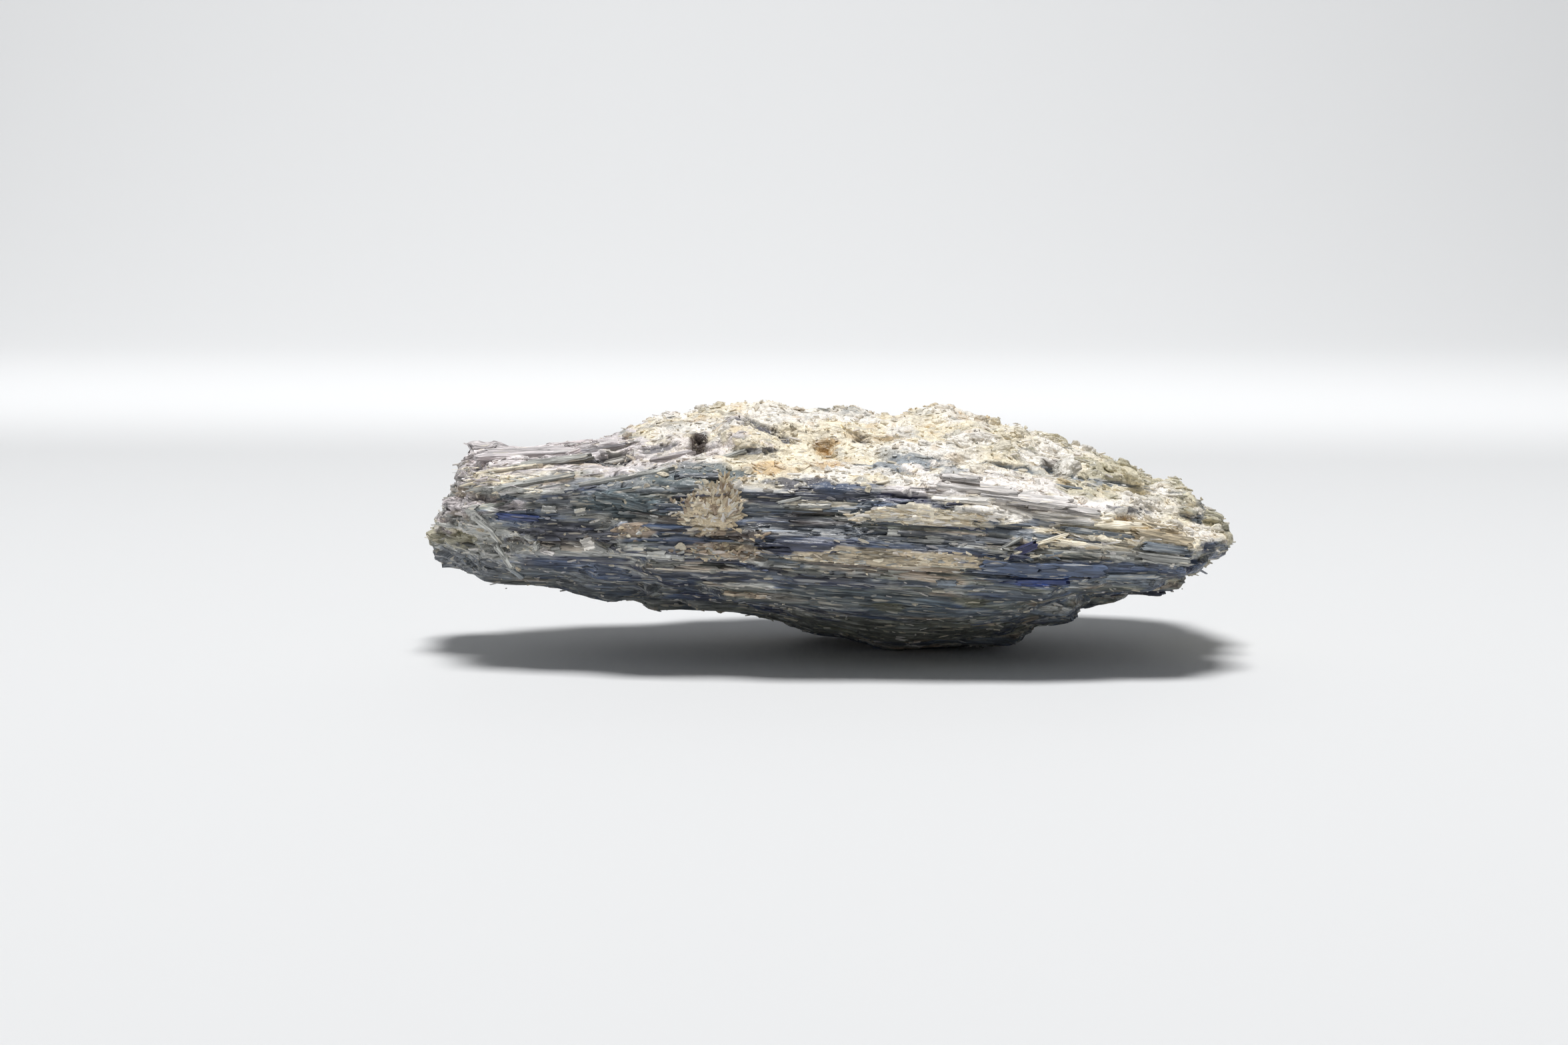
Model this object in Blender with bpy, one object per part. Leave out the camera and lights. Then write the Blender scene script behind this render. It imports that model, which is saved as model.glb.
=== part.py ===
"""Kyanite blade cluster: one natural stone, 80 mm long, of flat kyanite blades grown side by side.

The stone is a single closed solid. A lofted core carries the overall form. Rows of chisel-ended blades lie
along it and stick out of both broken ends, a lumpy crust of mica and quartz grows on the top, and a few
pits are sunk in. Everything is fused by exact Booleans. The stone rests on a flat patch of its keel.

Frame: +X runs along the blades to the pointed end, -Y is the front, +Z is up.
The origin is the bottom centre of the bounding box.
"""

import math
import random
from typing import NamedTuple

import bmesh
import bpy
from mathutils import Matrix, Vector, noise
from mathutils.bvhtree import BVHTree

MM = 0.001

# No blade may reach farther from the middle of the core than this. The finished stone is moved by the
# centring, so that the middle of its bounding box lies over the origin.
HALF_LENGTH = 40 * MM
CENTRING = Vector((0.4, -4.4, 0)) * MM
SEARCH_REACH = 60 * MM

# Core.
KEEL_SQUARENESS = 1.5
POINTS_PER_QUARTER = 5
CORE_ROUGHNESS = 0.7 * MM
CORE_ROUGHNESS_SCALE = 9 * MM
BREAK_FACES_AWAY = Vector((-0.88, -0.35, -0.33))
BREAK_POINT = Vector((-32.2, -12.5, 12.0)) * MM

# Blades that lie along the core in rows, one row for each direction round it.
ROWS = 23
ROW_OVAL = (20, 11)
ROW_JITTER = 0.07
BLADE_LENGTH = (12 * MM, 27 * MM)
BLADE_SHORTER_AT_ENDS = 0.5
BLADE_OVERLAP = (0.8, 1.0)
BLADE_WIDTH = (1.8 * MM, 4.2 * MM)
BLADE_DEPTH = 3.6 * MM
BLADE_PROUD = (0.2 * MM, 1.0 * MM)
BLADE_ROLL = math.radians(14)
BLADE_CHISEL = 0.6 * MM
BLADE_END_OVERLAP = 1 * MM
ROW_END_JITTER = (-2 * MM, 1 * MM)
ROW_SHORTEST = 3 * MM
ROW_INSET = 1.5 * MM
AXIS_Y = 3.5 * MM

# The blades' common direction: nearly level at the left end and dipping towards the right.
DIP_AT_MIDDLE = math.radians(3)
DIP_GAIN = math.radians(5) / (40 * MM)
FOLLOW_SURFACE = 0.35

# Blades that stick out of the two broken ends.
END_SLOTS_Y = (-13, -9, -5, -1, 3, 7, 11, 15, 19)
END_SLOTS_Z = (4 * MM, 21 * MM)
END_SLOT_HEIGHT = (2.08 * MM, 3.12 * MM)
END_SLOT_JITTER = 1.2
END_BLADE_LENGTH = 15 * MM
END_BLADE_WIDTH = (3.2 * MM, 5.4 * MM)
END_BLADE_THICKNESS = (1.8 * MM, 2.8 * MM)
END_BLADE_PROUD = (0.3 * MM, 2.6 * MM)
END_BLADE_LEAN = 0.3
END_ZONE_X = 26 * MM

# Crust of mica and quartz on the top.
CRUST_LUMPS = 34
CRUST_X = (-16 * MM, 34 * MM)
CRUST_Y = (-9 * MM, 21 * MM)
LUMP_RADIUS = (1.8 * MM, 3.8 * MM)
LUMP_SINK = 0.25
LUMP_FLATNESS = 0.6
LUMP_ROUGHNESS = 0.45

# The box that cuts the keel flat, and the angle below which faces count as one flat.
GROUND_SIZE = Vector((120, 80, 20)) * MM
FLAT_ANGLE = 0.002
SEED = 21


class Section(NamedTuple):
    """One cross-section of the core, in millimetres.

    The outline passes through its lowest point (y_low, low), its front (front, z_front), its highest point
    (y_high, high) and its back (back, z_back). Squareness is that of the upper arcs: 2 gives ellipses, and
    more gives boxier ones.
    """
    x: float
    low: float
    high: float
    front: float
    back: float
    z_front: float
    z_back: float
    y_low: float
    y_high: float
    squareness: float


SECTIONS = (
    Section(-38.2, 9.6, 15.8, 1.0, 10.0, 12.0, 12.0, 6.0, 6.0, 2.6),
    Section(-36.6, 8.4, 18.2, -4.0, 11.5, 14.0, 12.0, 6.0, 5.0, 2.8),
    Section(-34.5, 8.2, 19.0, -8.0, 12.5, 14.0, 12.0, 5.0, 4.0, 2.7),
    Section(-30.0, 8.0, 18.9, -11.0, 13.5, 13.0, 12.0, 4.0, 3.0, 2.6),
    Section(-23.0, 6.8, 19.3, -13.2, 16.0, 12.5, 12.0, 6.0, 4.0, 2.4),
    Section(-16.0, 4.8, 22.6, -15.0, 19.0, 12.0, 12.0, 9.0, 6.0, 2.3),
    Section(-9.0, 2.6, 23.5, -16.3, 22.5, 11.5, 12.0, 12.0, 6.0, 2.1),
    Section(-2.0, -0.8, 23.0, -17.0, 25.0, 11.5, 12.0, 9.5, 7.0, 2.1),
    Section(5.0, -1.0, 22.2, -17.5, 27.0, 11.5, 12.0, 8.0, 8.0, 2.1),
    Section(12.0, -0.6, 22.4, -18.0, 28.0, 11.5, 12.0, 6.0, 8.0, 2.1),
    Section(17.0, 0.6, 21.4, -18.2, 28.0, 11.0, 12.0, 6.0, 8.0, 2.1),
    Section(22.5, 5.2, 19.5, -17.8, 27.0, 10.5, 11.5, 5.0, 7.0, 2.2),
    Section(28.0, 7.9, 17.2, -16.5, 25.0, 11.0, 11.0, 4.0, 6.0, 2.3),
    Section(33.0, 8.2, 15.4, -14.0, 22.0, 11.0, 11.0, 4.0, 5.0, 2.4),
    Section(36.0, 9.2, 13.6, -9.0, 17.0, 11.0, 11.0, 4.0, 4.0, 2.4),
    Section(38.0, 9.6, 12.2, -4.0, 12.0, 11.0, 11.0, 4.0, 3.0, 2.2),
)


class Ledge(NamedTuple):
    """A large blade on the front, in millimetres, from (x_left, z_left) to (x_right, z_right)."""
    name: str
    x_left: float
    z_left: float
    x_right: float
    z_right: float
    width: float
    proud: float


LEDGES = (
    Ledge("upper left slab", -33.0, 17.2, -15.0, 17.8, 4.4, 0.6),
    Ledge("middle left slab", -31.5, 13.4, -17.0, 13.2, 2.6, 0.7),
    Ledge("lower left slab", -29.5, 9.9, -9.0, 8.9, 3.0, 0.6),
    Ledge("navy blade", -7.5, 17.2, 7.0, 16.6, 2.4, 0.5),
    Ledge("silver blade", 8.5, 18.2, 25.0, 16.6, 3.2, 0.9),
    Ledge("ropy ridge", 1.0, 15.4, 16.0, 15.0, 1.6, 1.1),
    Ledge("granular band", -1.0, 12.3, 13.0, 12.0, 2.2, 0.7),
    Ledge("tilted chip", 15.0, 11.5, 19.4, 13.3, 1.8, 1.0),
    Ledge("long lower blade", 13.0, 10.3, 31.5, 9.2, 2.6, 0.9),
    Ledge("keel facet", -7.0, 5.8, 15.0, 4.2, 4.6, 0.3),
    Ledge("lower right blade", 23.0, 8.8, 34.0, 8.8, 2.0, 0.6),
    Ledge("right end stack", 25.0, 13.0, 35.0, 11.6, 2.6, 0.8),
)


class Pit(NamedTuple):
    """A hollow in the top, in millimetres, with its half sizes."""
    x: float
    y: float
    half_length: float
    half_width: float
    depth: float


PITS = (
    Pit(-13.3, -7.4, 1.1, 1.1, 1.6),
    Pit(-21.0, -7.0, 2.8, 1.0, 1.0),
    Pit(-29.2, -6.7, 1.3, 0.7, 0.8),
    Pit(-1.0, -8.0, 1.5, 1.1, 1.2),
    Pit(28.3, -13.0, 1.8, 1.0, 0.9),
)


def section_ring(section):
    """The outline of a section as points, from the lowest one round by the front, the top and the back."""
    corners = (
        (section.y_low, section.front, section.low, section.z_front, KEEL_SQUARENESS),
        (section.y_high, section.front, section.high, section.z_front, section.squareness),
        (section.y_high, section.back, section.high, section.z_back, section.squareness),
        (section.y_low, section.back, section.low, section.z_back, KEEL_SQUARENESS),
    )
    ring = []
    for quarter, (y_pole, y_side, z_pole, z_side, squareness) in enumerate(corners):
        power = 2 / squareness
        for step in range(POINTS_PER_QUARTER):
            turn = math.pi / 2 * step / POINTS_PER_QUARTER
            if quarter % 2:
                turn = math.pi / 2 - turn
            y = y_pole + (y_side - y_pole) * math.sin(turn) ** power
            z = z_side + (z_pole - z_side) * math.cos(turn) ** power
            ring.append(Vector((section.x, y, z)) * MM)
    return ring


def roughened(point, centre):
    """The point moved outward or inward by smooth noise."""
    outward = (point - centre).normalized()
    return point + outward * CORE_ROUGHNESS * noise.noise(point / CORE_ROUGHNESS_SCALE)


def core_mesh():
    """The closed loft through the sections, with its front left corner broken off flat."""
    shape = bmesh.new()
    rings = []
    for section in SECTIONS:
        points = section_ring(section)
        centre = sum(points, Vector()) / len(points)
        rings.append([shape.verts.new(roughened(point, centre)) for point in points])
    for ring, following in zip(rings, rings[1:]):
        for side in range(len(ring)):
            beyond = (side + 1) % len(ring)
            shape.faces.new((ring[side], ring[beyond], following[beyond], following[side]))
    shape.faces.new(rings[0])
    shape.faces.new(rings[-1])
    bmesh.ops.triangulate(shape, faces=shape.faces)
    cut = bmesh.ops.bisect_plane(
        shape,
        geom=list(shape.verts) + list(shape.edges) + list(shape.faces),
        plane_co=BREAK_POINT,
        plane_no=BREAK_FACES_AWAY,
        clear_outer=True,
    )
    rim = [item for item in cut["geom_cut"] if isinstance(item, bmesh.types.BMEdge)]
    bmesh.ops.contextual_create(shape, geom=rim)
    bmesh.ops.recalc_face_normals(shape, faces=shape.faces)
    bmesh.ops.triangulate(shape, faces=shape.faces)
    return finished_mesh(shape, "core")


def finished_mesh(shape, name):
    """A mesh with the shape, which is then freed."""
    mesh = bpy.data.meshes.new(name)
    shape.to_mesh(mesh)
    shape.free()
    return mesh


def core_axis_height(x):
    """The height halfway between the core's lowest and highest points at this x."""
    at = x / MM
    for section, following in zip(SECTIONS, SECTIONS[1:]):
        if at <= following.x:
            break
    share = (at - section.x) / (following.x - section.x)
    start = (section.low + section.high) / 2
    end = (following.low + following.high) / 2
    return (start + (end - start) * share) * MM


def core_surface(tree, x, angle):
    """Where the core's surface lies at this x in this direction from its axis, and how it faces."""
    middle = Vector((x, AXIS_Y, core_axis_height(x)))
    outward = Vector((0, math.cos(angle), math.sin(angle)))
    point, normal, _, _ = tree.ray_cast(middle + outward * SEARCH_REACH, -outward)
    return point, normal


def dip_direction(x):
    """The way the blades run at this x."""
    dip = DIP_AT_MIDDLE + DIP_GAIN * x
    return Vector((math.cos(dip), 0, -math.sin(dip)))


def add_blade(name, ends, outward, size, draw, operands):
    """A flat blade between two points: a box of that width and thickness with chiselled ends."""
    ends = [Vector((max(-HALF_LENGTH, min(HALF_LENGTH, end.x)), end.y, end.z)) for end in ends]
    first, last = ends
    width, thickness = size
    length = (last - first).length
    slants = [(draw.uniform(-1, 1), draw.uniform(-1, 1)) for _ in ends]
    shape = bmesh.new()
    bmesh.ops.create_cube(shape, size=1)
    for vertex in shape.verts:
        side = vertex.co.x > 0
        slant_y, slant_z = slants[side]
        leaning = slant_y * vertex.co.y + slant_z * vertex.co.z
        chisel = BLADE_CHISEL * (leaning * 2 + (-1 if side else 1))
        vertex.co = Vector((vertex.co.x * length + chisel, vertex.co.y * width, vertex.co.z * thickness))
    bmesh.ops.recalc_face_normals(shape, faces=shape.faces)
    along = (last - first).normalized()
    across = outward.cross(along).normalized()
    turn = Matrix((along, across, along.cross(across))).transposed().to_4x4()
    blade = bpy.data.objects.new(name, finished_mesh(shape, name))
    blade.matrix_world = Matrix.Translation((first + last) / 2) @ turn
    operands.objects.link(blade)


def lay_ledges(tree, draw, operands):
    """The large blades of the front, each lying on the core and a little proud of it."""
    for ledge in LEDGES:
        found = []
        for x, z in ((ledge.x_left, ledge.z_left), (ledge.x_right, ledge.z_right)):
            found.append(tree.ray_cast(Vector((x * MM, -SEARCH_REACH, z * MM)), Vector((0, 1, 0)))[:2])
        (first, first_normal), (last, last_normal) = found
        along = (last - first).normalized()
        outward = first_normal + last_normal
        outward = (outward - along * outward.dot(along)).normalized()
        shift = outward * (ledge.proud * MM - BLADE_DEPTH / 2)
        size = (ledge.width * MM, BLADE_DEPTH)
        add_blade(ledge.name, (first + shift, last + shift), outward, size, draw, operands)


def lay_blade_rows(tree, draw, operands):
    """Blades end to end along the core, in rows round it, each a little proud of its neighbours."""
    for row in range(ROWS):
        turn = 2 * math.pi * (row + 0.5) / ROWS
        x, row_end = row_limits(tree, turn, draw)
        count = 0
        while x < row_end - ROW_SHORTEST:
            length = draw.uniform(*BLADE_LENGTH)
            length *= 1 - BLADE_SHORTER_AT_ENDS * abs(x + length / 2) / HALF_LENGTH
            angle = oval_angle(turn + draw.uniform(-ROW_JITTER, ROW_JITTER))
            first, first_normal = core_surface(tree, x, angle)
            last, last_normal = core_surface(tree, min(x + length, row_end), angle)
            if first and last:
                chord = (last - first).normalized()
                along = dip_direction(x + length / 2).lerp(chord, FOLLOW_SURFACE).normalized()
                outward = (first_normal + last_normal).normalized()
                outward.rotate(Matrix.Rotation(draw.uniform(-BLADE_ROLL, BLADE_ROLL), 3, along))
                sink = draw.uniform(*BLADE_PROUD) - BLADE_DEPTH / 2
                centre = (first + last) / 2 + outward * sink
                half = along * (length / 2 + BLADE_END_OVERLAP)
                ends = (centre - half, centre + half)
                size = (draw.uniform(*BLADE_WIDTH), BLADE_DEPTH)
                add_blade(f"blade_{row}_{count}", ends, outward, size, draw, operands)
            x += length * draw.uniform(*BLADE_OVERLAP)
            count += 1


def oval_angle(turn):
    """The direction from the axis to the point this far round an oval of the core's proportions."""
    return math.atan2(ROW_OVAL[1] * math.sin(turn), ROW_OVAL[0] * math.cos(turn))


def row_limits(tree, turn, draw):
    """Where a row of blades starts and ends: just outside the core's two broken ends."""
    limits = []
    for side in (-1, 1):
        surface, normal = core_surface(tree, side * END_ZONE_X, oval_angle(turn))
        inside = surface - normal * ROW_INSET
        start = Vector((side * SEARCH_REACH, inside.y, inside.z))
        tip, _, _, _ = tree.ray_cast(start, Vector((-side, 0, 0)))
        limits.append(tip.x + side * draw.uniform(*ROW_END_JITTER))
    return limits


def lay_end_blades(tree, side, draw, operands):
    """Blades that stick out of a broken end: side is -1 for the left one and 1 for the pointed one."""
    for column, slot_y in enumerate(END_SLOTS_Y):
        z = END_SLOTS_Z[0]
        while z < END_SLOTS_Z[1]:
            z += draw.uniform(*END_SLOT_HEIGHT)
            y = (slot_y + draw.uniform(-END_SLOT_JITTER, END_SLOT_JITTER)) * MM
            start = Vector((side * SEARCH_REACH, y, z))
            hit, _, _, _ = tree.ray_cast(start, Vector((-side, 0, 0)))
            if not hit or abs(hit.x) < END_ZONE_X:
                continue
            inward = dip_direction(hit.x) * -side
            tip = hit - inward * draw.uniform(*END_BLADE_PROUD)
            outward = Vector((0, draw.uniform(-END_BLADE_LEAN, END_BLADE_LEAN), 1)).normalized()
            size = (draw.uniform(*END_BLADE_WIDTH), draw.uniform(*END_BLADE_THICKNESS))
            root = tip + inward * END_BLADE_LENGTH
            ends = (tip, root) if side < 0 else (root, tip)
            add_blade(f"end_{side}_{column}_{round(z / MM)}", ends, outward, size, draw, operands)


def grow_crust(tree, draw, operands):
    """Knobbly, flattened lumps of crust over the top and down the back of the right half."""
    for number in range(CRUST_LUMPS):
        x = draw.uniform(*CRUST_X)
        y = draw.uniform(*CRUST_Y)
        radius = draw.uniform(*LUMP_RADIUS)
        hit, normal, _, _ = tree.ray_cast(Vector((x, y, SEARCH_REACH)), Vector((0, 0, -1)))
        if not hit:
            continue
        shape = bmesh.new()
        bmesh.ops.create_icosphere(shape, subdivisions=2, radius=radius)
        for vertex in shape.verts:
            vertex.co *= 1 + LUMP_ROUGHNESS * noise.noise(vertex.co / radius + hit / MM)
            vertex.co.z = (vertex.co.z - radius * LUMP_SINK) * LUMP_FLATNESS
        add_operand(f"lump_{number}", shape, hit, normal, operands)


def add_operand(name, shape, place, upward, operands):
    """An operand with its own +Z turned to the given direction and its own X kept along the stone."""
    across = upward.cross(dip_direction(place.x)).normalized()
    turn = Matrix((across.cross(upward), across, upward)).transposed().to_4x4()
    operand = bpy.data.objects.new(name, finished_mesh(shape, name))
    operand.matrix_world = Matrix.Translation(place) @ turn
    operands.objects.link(operand)


def sink_pits(tree, cutters):
    """Small hollows in the top, each a squashed ball sunk into the surface."""
    for number, pit in enumerate(PITS):
        start = Vector((pit.x * MM, pit.y * MM, SEARCH_REACH))
        hit, normal, _, _ = tree.ray_cast(start, Vector((0, 0, -1)))
        shape = bmesh.new()
        bmesh.ops.create_icosphere(shape, subdivisions=2, radius=MM)
        size = Vector((pit.half_length, pit.half_width, pit.depth))
        bmesh.ops.scale(shape, vec=size, verts=shape.verts)
        add_operand(f"pit_{number}", shape, hit, normal, cutters)


def add_ground(cutters):
    """The box that cuts the keel flat at z = 0."""
    shape = bmesh.new()
    bmesh.ops.create_cube(shape, size=1)
    bmesh.ops.scale(shape, vec=GROUND_SIZE, verts=shape.verts)
    bmesh.ops.translate(shape, vec=Vector((0, 0, -GROUND_SIZE.z / 2)), verts=shape.verts)
    cutters.objects.link(bpy.data.objects.new("ground", finished_mesh(shape, "ground")))


def islands_of(shape):
    """The sets of vertices that hang together, smallest first."""
    unseen = set(shape.verts)
    islands = []
    while unseen:
        island = set()
        waiting = [unseen.pop()]
        while waiting:
            vertex = waiting.pop()
            island.add(vertex)
            linked = {edge.other_vert(vertex) for edge in vertex.link_edges} & unseen
            unseen -= linked
            waiting += linked
        islands.append(island)
    return sorted(islands, key=len)


def combine(body, operation, operands):
    """Join every operand to the body or cut it away, and fill any hollow that is closed off inside."""
    modifier = body.modifiers.new(operation.lower(), "BOOLEAN")
    modifier.operation = operation
    modifier.solver = "EXACT"
    modifier.operand_type = "COLLECTION"
    modifier.collection = operands
    bpy.context.view_layer.update()
    evaluated = body.evaluated_get(bpy.context.evaluated_depsgraph_get())
    shape = bmesh.new()
    shape.from_mesh(evaluated.to_mesh())
    evaluated.to_mesh_clear()
    body.modifiers.remove(modifier)
    hollows = [vertex for island in islands_of(shape)[:-1] for vertex in island]
    bmesh.ops.delete(shape, geom=hollows, context="VERTS")
    bmesh.ops.dissolve_limit(shape, angle_limit=FLAT_ANGLE, verts=shape.verts, edges=shape.edges)
    bmesh.ops.triangulate(shape, faces=shape.faces)
    shape.to_mesh(body.data)
    shape.free()


def stone_material():
    """Muted grey-blue kyanite with a pearly shine."""
    material = bpy.data.materials.new("kyanite")
    material.use_nodes = True
    surface = material.node_tree.nodes["Principled BSDF"]
    surface.inputs["Base Color"].default_value = (0.13, 0.15, 0.19, 1)
    surface.inputs["Roughness"].default_value = 0.5
    surface.inputs["Metallic"].default_value = 0
    return material


def main():
    for leftover in list(bpy.data.objects):
        bpy.data.objects.remove(leftover)
    parts = bpy.data.collections.new("kyanite_blade_cluster")
    operands = bpy.data.collections.new("operands")
    cutters = bpy.data.collections.new("cutters")
    for collection in (parts, operands, cutters):
        bpy.context.scene.collection.children.link(collection)
    stone = bpy.data.objects.new("kyanite_cluster", core_mesh())
    parts.objects.link(stone)
    draw = random.Random(SEED)
    tree = BVHTree.FromObject(stone, bpy.context.evaluated_depsgraph_get())
    lay_ledges(tree, draw, operands)
    lay_blade_rows(tree, draw, operands)
    for side in (-1, 1):
        lay_end_blades(tree, side, draw, operands)
    grow_crust(tree, draw, operands)
    combine(stone, "UNION", operands)
    tree = BVHTree.FromObject(stone, bpy.context.evaluated_depsgraph_get())
    sink_pits(tree, cutters)
    add_ground(cutters)
    combine(stone, "DIFFERENCE", cutters)
    stone.data.transform(Matrix.Translation(CENTRING))
    stone.data.materials.append(stone_material())
    for collection in (operands, cutters):
        collection.hide_render = True
        for operand in collection.objects:
            operand.hide_render = True
            operand.display_type = "WIRE"


main()
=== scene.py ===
"""Finish of the kyanite blade cluster: the rock's fine relief, blades, crust, mica and studio.

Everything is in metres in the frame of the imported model, and sizes are named in millimetres. The stone is one
rock, so every piece rides on its one body and stands for its one node.
"""

import logging
import math
import random
from dataclasses import dataclass, field
from enum import Enum
from typing import NamedTuple

import bmesh
import bpy
import numpy as np
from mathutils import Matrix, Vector
from mathutils.bvhtree import BVHTree


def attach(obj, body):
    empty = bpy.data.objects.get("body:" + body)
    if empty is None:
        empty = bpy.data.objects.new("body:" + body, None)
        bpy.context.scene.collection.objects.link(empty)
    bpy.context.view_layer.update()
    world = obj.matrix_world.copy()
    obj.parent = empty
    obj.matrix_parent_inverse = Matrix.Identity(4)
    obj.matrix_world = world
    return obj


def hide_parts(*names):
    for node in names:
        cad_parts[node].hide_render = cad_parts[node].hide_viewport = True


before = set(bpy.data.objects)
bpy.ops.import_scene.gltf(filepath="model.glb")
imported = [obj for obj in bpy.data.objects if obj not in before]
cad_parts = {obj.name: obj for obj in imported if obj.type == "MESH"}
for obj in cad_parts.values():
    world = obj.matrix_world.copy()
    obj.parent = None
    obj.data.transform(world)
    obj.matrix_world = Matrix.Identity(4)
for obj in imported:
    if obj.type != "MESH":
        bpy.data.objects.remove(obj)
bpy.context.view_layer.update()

MM = 0.001
NODE = "kyanite_cluster"
BODY = "root"

log = logging.getLogger("kyanite")


class Tint(Enum):
    """The stone's colours, and one painted shade, as display values from 0 to 255."""

    SLATE = (94, 102, 113)
    NAVY = (58, 61, 79)
    DEEP = (50, 53, 90)
    COBALT = (58, 76, 130)
    BLUE = (76, 91, 118)
    STEEL = (132, 142, 152)
    TEAL = (94, 107, 112)
    PALE = (190, 190, 184)
    LILAC = (230, 221, 221)
    SILVER = (252, 245, 240)
    WHITE = (252, 246, 236)
    CREAM = (250, 238, 212)
    SAND = (222, 204, 172)
    TAN = (172, 152, 130)
    OCHRE = (212, 180, 132)
    OLIVE = (136, 136, 116)
    MOSS = (188, 182, 156)
    BROWN = (92, 82, 76)
    # painted shade, laid as dark paint in crevices, in a pit on the top and along the gaps by the proud blue
    # blade
    SHADOW = (44, 46, 54)

    def linear(self) -> np.ndarray:
        """The tint as linear red, green and blue."""
        return (np.array(self.value) / 255) ** 2.2


class Side(Enum):
    """The faces of the stone, by the direction that they look in."""

    FRONT = (0, -1, 0)
    TOP = (0, 0, 1)
    BACK = (0, 1, 0)
    UNDER = (0, 0, -1)
    LEFT = (-1, 0, 0)
    RIGHT = (1, 0, 0)


def ramp(low: float, high: float, values: np.ndarray) -> np.ndarray:
    """Ramp smoothly from 0 at low to 1 at high.

    Args:
        low: Where the ramp starts. It may be the higher of the two for a falling ramp.
        high: Where the ramp ends.
        values: The numbers to place on the ramp.

    Returns:
        Numbers from 0 to 1.
    """
    share = np.clip((values - low) / (high - low), 0, 1)
    return share * share * (3 - 2 * share)


def unit(vectors: np.ndarray) -> np.ndarray:
    """Vectors scaled to a length of 1."""
    return vectors / np.maximum(np.linalg.norm(vectors, axis=-1, keepdims=True), 1e-12)


def mix(below: np.ndarray, above: np.ndarray, share: np.ndarray) -> np.ndarray:
    """Colours with another colour laid over them by a share from 0 to 1."""
    return below + (above - below) * share[:, None]


class Noise:
    """Repeatable chance on arrays of places."""

    PRIMES = (374761393, 668265263, 2246822519, 3266489917)
    STEEPNESS = 3.2
    FALL = 1.6

    @classmethod
    def hashed(cls, cells: np.ndarray, salt: int) -> np.ndarray:
        """A random number from 0 to 1 for each whole-numbered cell.

        Args:
            cells: Whole numbers, three for each cell.
            salt: A number that makes this layer unlike the others.

        Returns:
            One number for each cell.
        """
        parts = cells.astype(np.int64).astype(np.uint32)
        mixed = np.full(parts.shape[:-1], salt * cls.PRIMES[3] % 2**32, np.uint32)
        for axis in range(3):
            mixed = (mixed ^ (parts[..., axis] * np.uint32(cls.PRIMES[axis]))) * np.uint32(cls.PRIMES[3])
            mixed = mixed ^ (mixed >> np.uint32(15))
        mixed = (mixed ^ (mixed >> np.uint32(13))) * np.uint32(cls.PRIMES[2])
        return (mixed ^ (mixed >> np.uint32(16))) / 2**32

    @classmethod
    def cell(cls, places: np.ndarray, salt: int) -> np.ndarray:
        """A random number from -1 to 1 for the unit cell that each place lies in."""
        return cls.hashed(np.floor(places), salt) * 2 - 1

    @classmethod
    def smooth(cls, places: np.ndarray, salt: int) -> np.ndarray:
        """Smoothly changing numbers from -1 to 1 with features about one unit large.

        Args:
            places: Three coordinates for each place.
            salt: A number that makes this layer unlike the others.

        Returns:
            One number for each place.
        """
        corner = np.floor(places)
        inside = places - corner
        inside = inside * inside * inside * (inside * (inside * 6 - 15) + 10)
        total = np.zeros(places.shape[0])
        for index in range(8):
            offset = np.array([(index >> axis) & 1 for axis in range(3)])
            weight = np.prod(np.where(offset == 1, inside, 1 - inside), axis=1)
            total += weight * cls.hashed(corner + offset, salt)
        return total * 2 - 1

    @classmethod
    def ridges(cls, places: np.ndarray, salt: int) -> np.ndarray:
        """Flat-topped ridges parted by sharp creases, from -1 in a crease to 1."""
        return np.minimum(1, np.abs(cls.smooth(places, salt)) * cls.STEEPNESS) * 2 - 1

    @classmethod
    def nodules(cls, places: np.ndarray, salt: int) -> np.ndarray:
        """Rounded lumps with creases between them.

        Args:
            places: Three coordinates for each place.
            salt: A number that makes this layer unlike the others.

        Returns:
            About 1 on top of a lump and about -0.6 in a crease, for each place.
        """
        corner = np.floor(places)
        nearest = np.full(places.shape[0], np.inf)
        for index in range(27):
            offset = np.array([index % 3 - 1, index // 3 % 3 - 1, index // 9 - 1])
            home = corner + offset
            seed = np.stack([cls.hashed(home, salt + axis + 1) for axis in range(3)], axis=1)
            nearest = np.minimum(nearest, np.linalg.norm(home + seed - places, axis=1))
        return 1 - cls.FALL * nearest


@dataclass(frozen=True)
class Grain:
    """The common direction of the blades: nearly level at the left end and dipping to the right."""

    dip_at_middle: float = math.tan(math.radians(3))
    dip_gain: float = math.tan(math.radians(5)) / 40

    def directions(self, points: np.ndarray) -> np.ndarray:
        """The way the blades run at places in millimetres."""
        dip = self.dip_at_middle + self.dip_gain * points[:, 0]
        return unit(np.stack([np.ones_like(dip), np.zeros_like(dip), -dip], axis=1))

    def coordinates(self, points: np.ndarray) -> np.ndarray:
        """Coordinates along, across and up the blades, in millimetres.

        Args:
            points: Places in millimetres.

        Returns:
            The places with the dip taken out of their height.
        """
        rise = self.dip_at_middle * points[:, 0] + self.dip_gain * points[:, 0] ** 2 / 2
        return points + np.stack([np.zeros_like(rise), np.zeros_like(rise), rise], axis=1)


GRAIN = Grain()


class Layer(NamedTuple):
    """One size of blade that the mass is split into: its length, width and thickness in millimetres."""

    length: float
    width: float
    thickness: float
    salt: int


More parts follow.
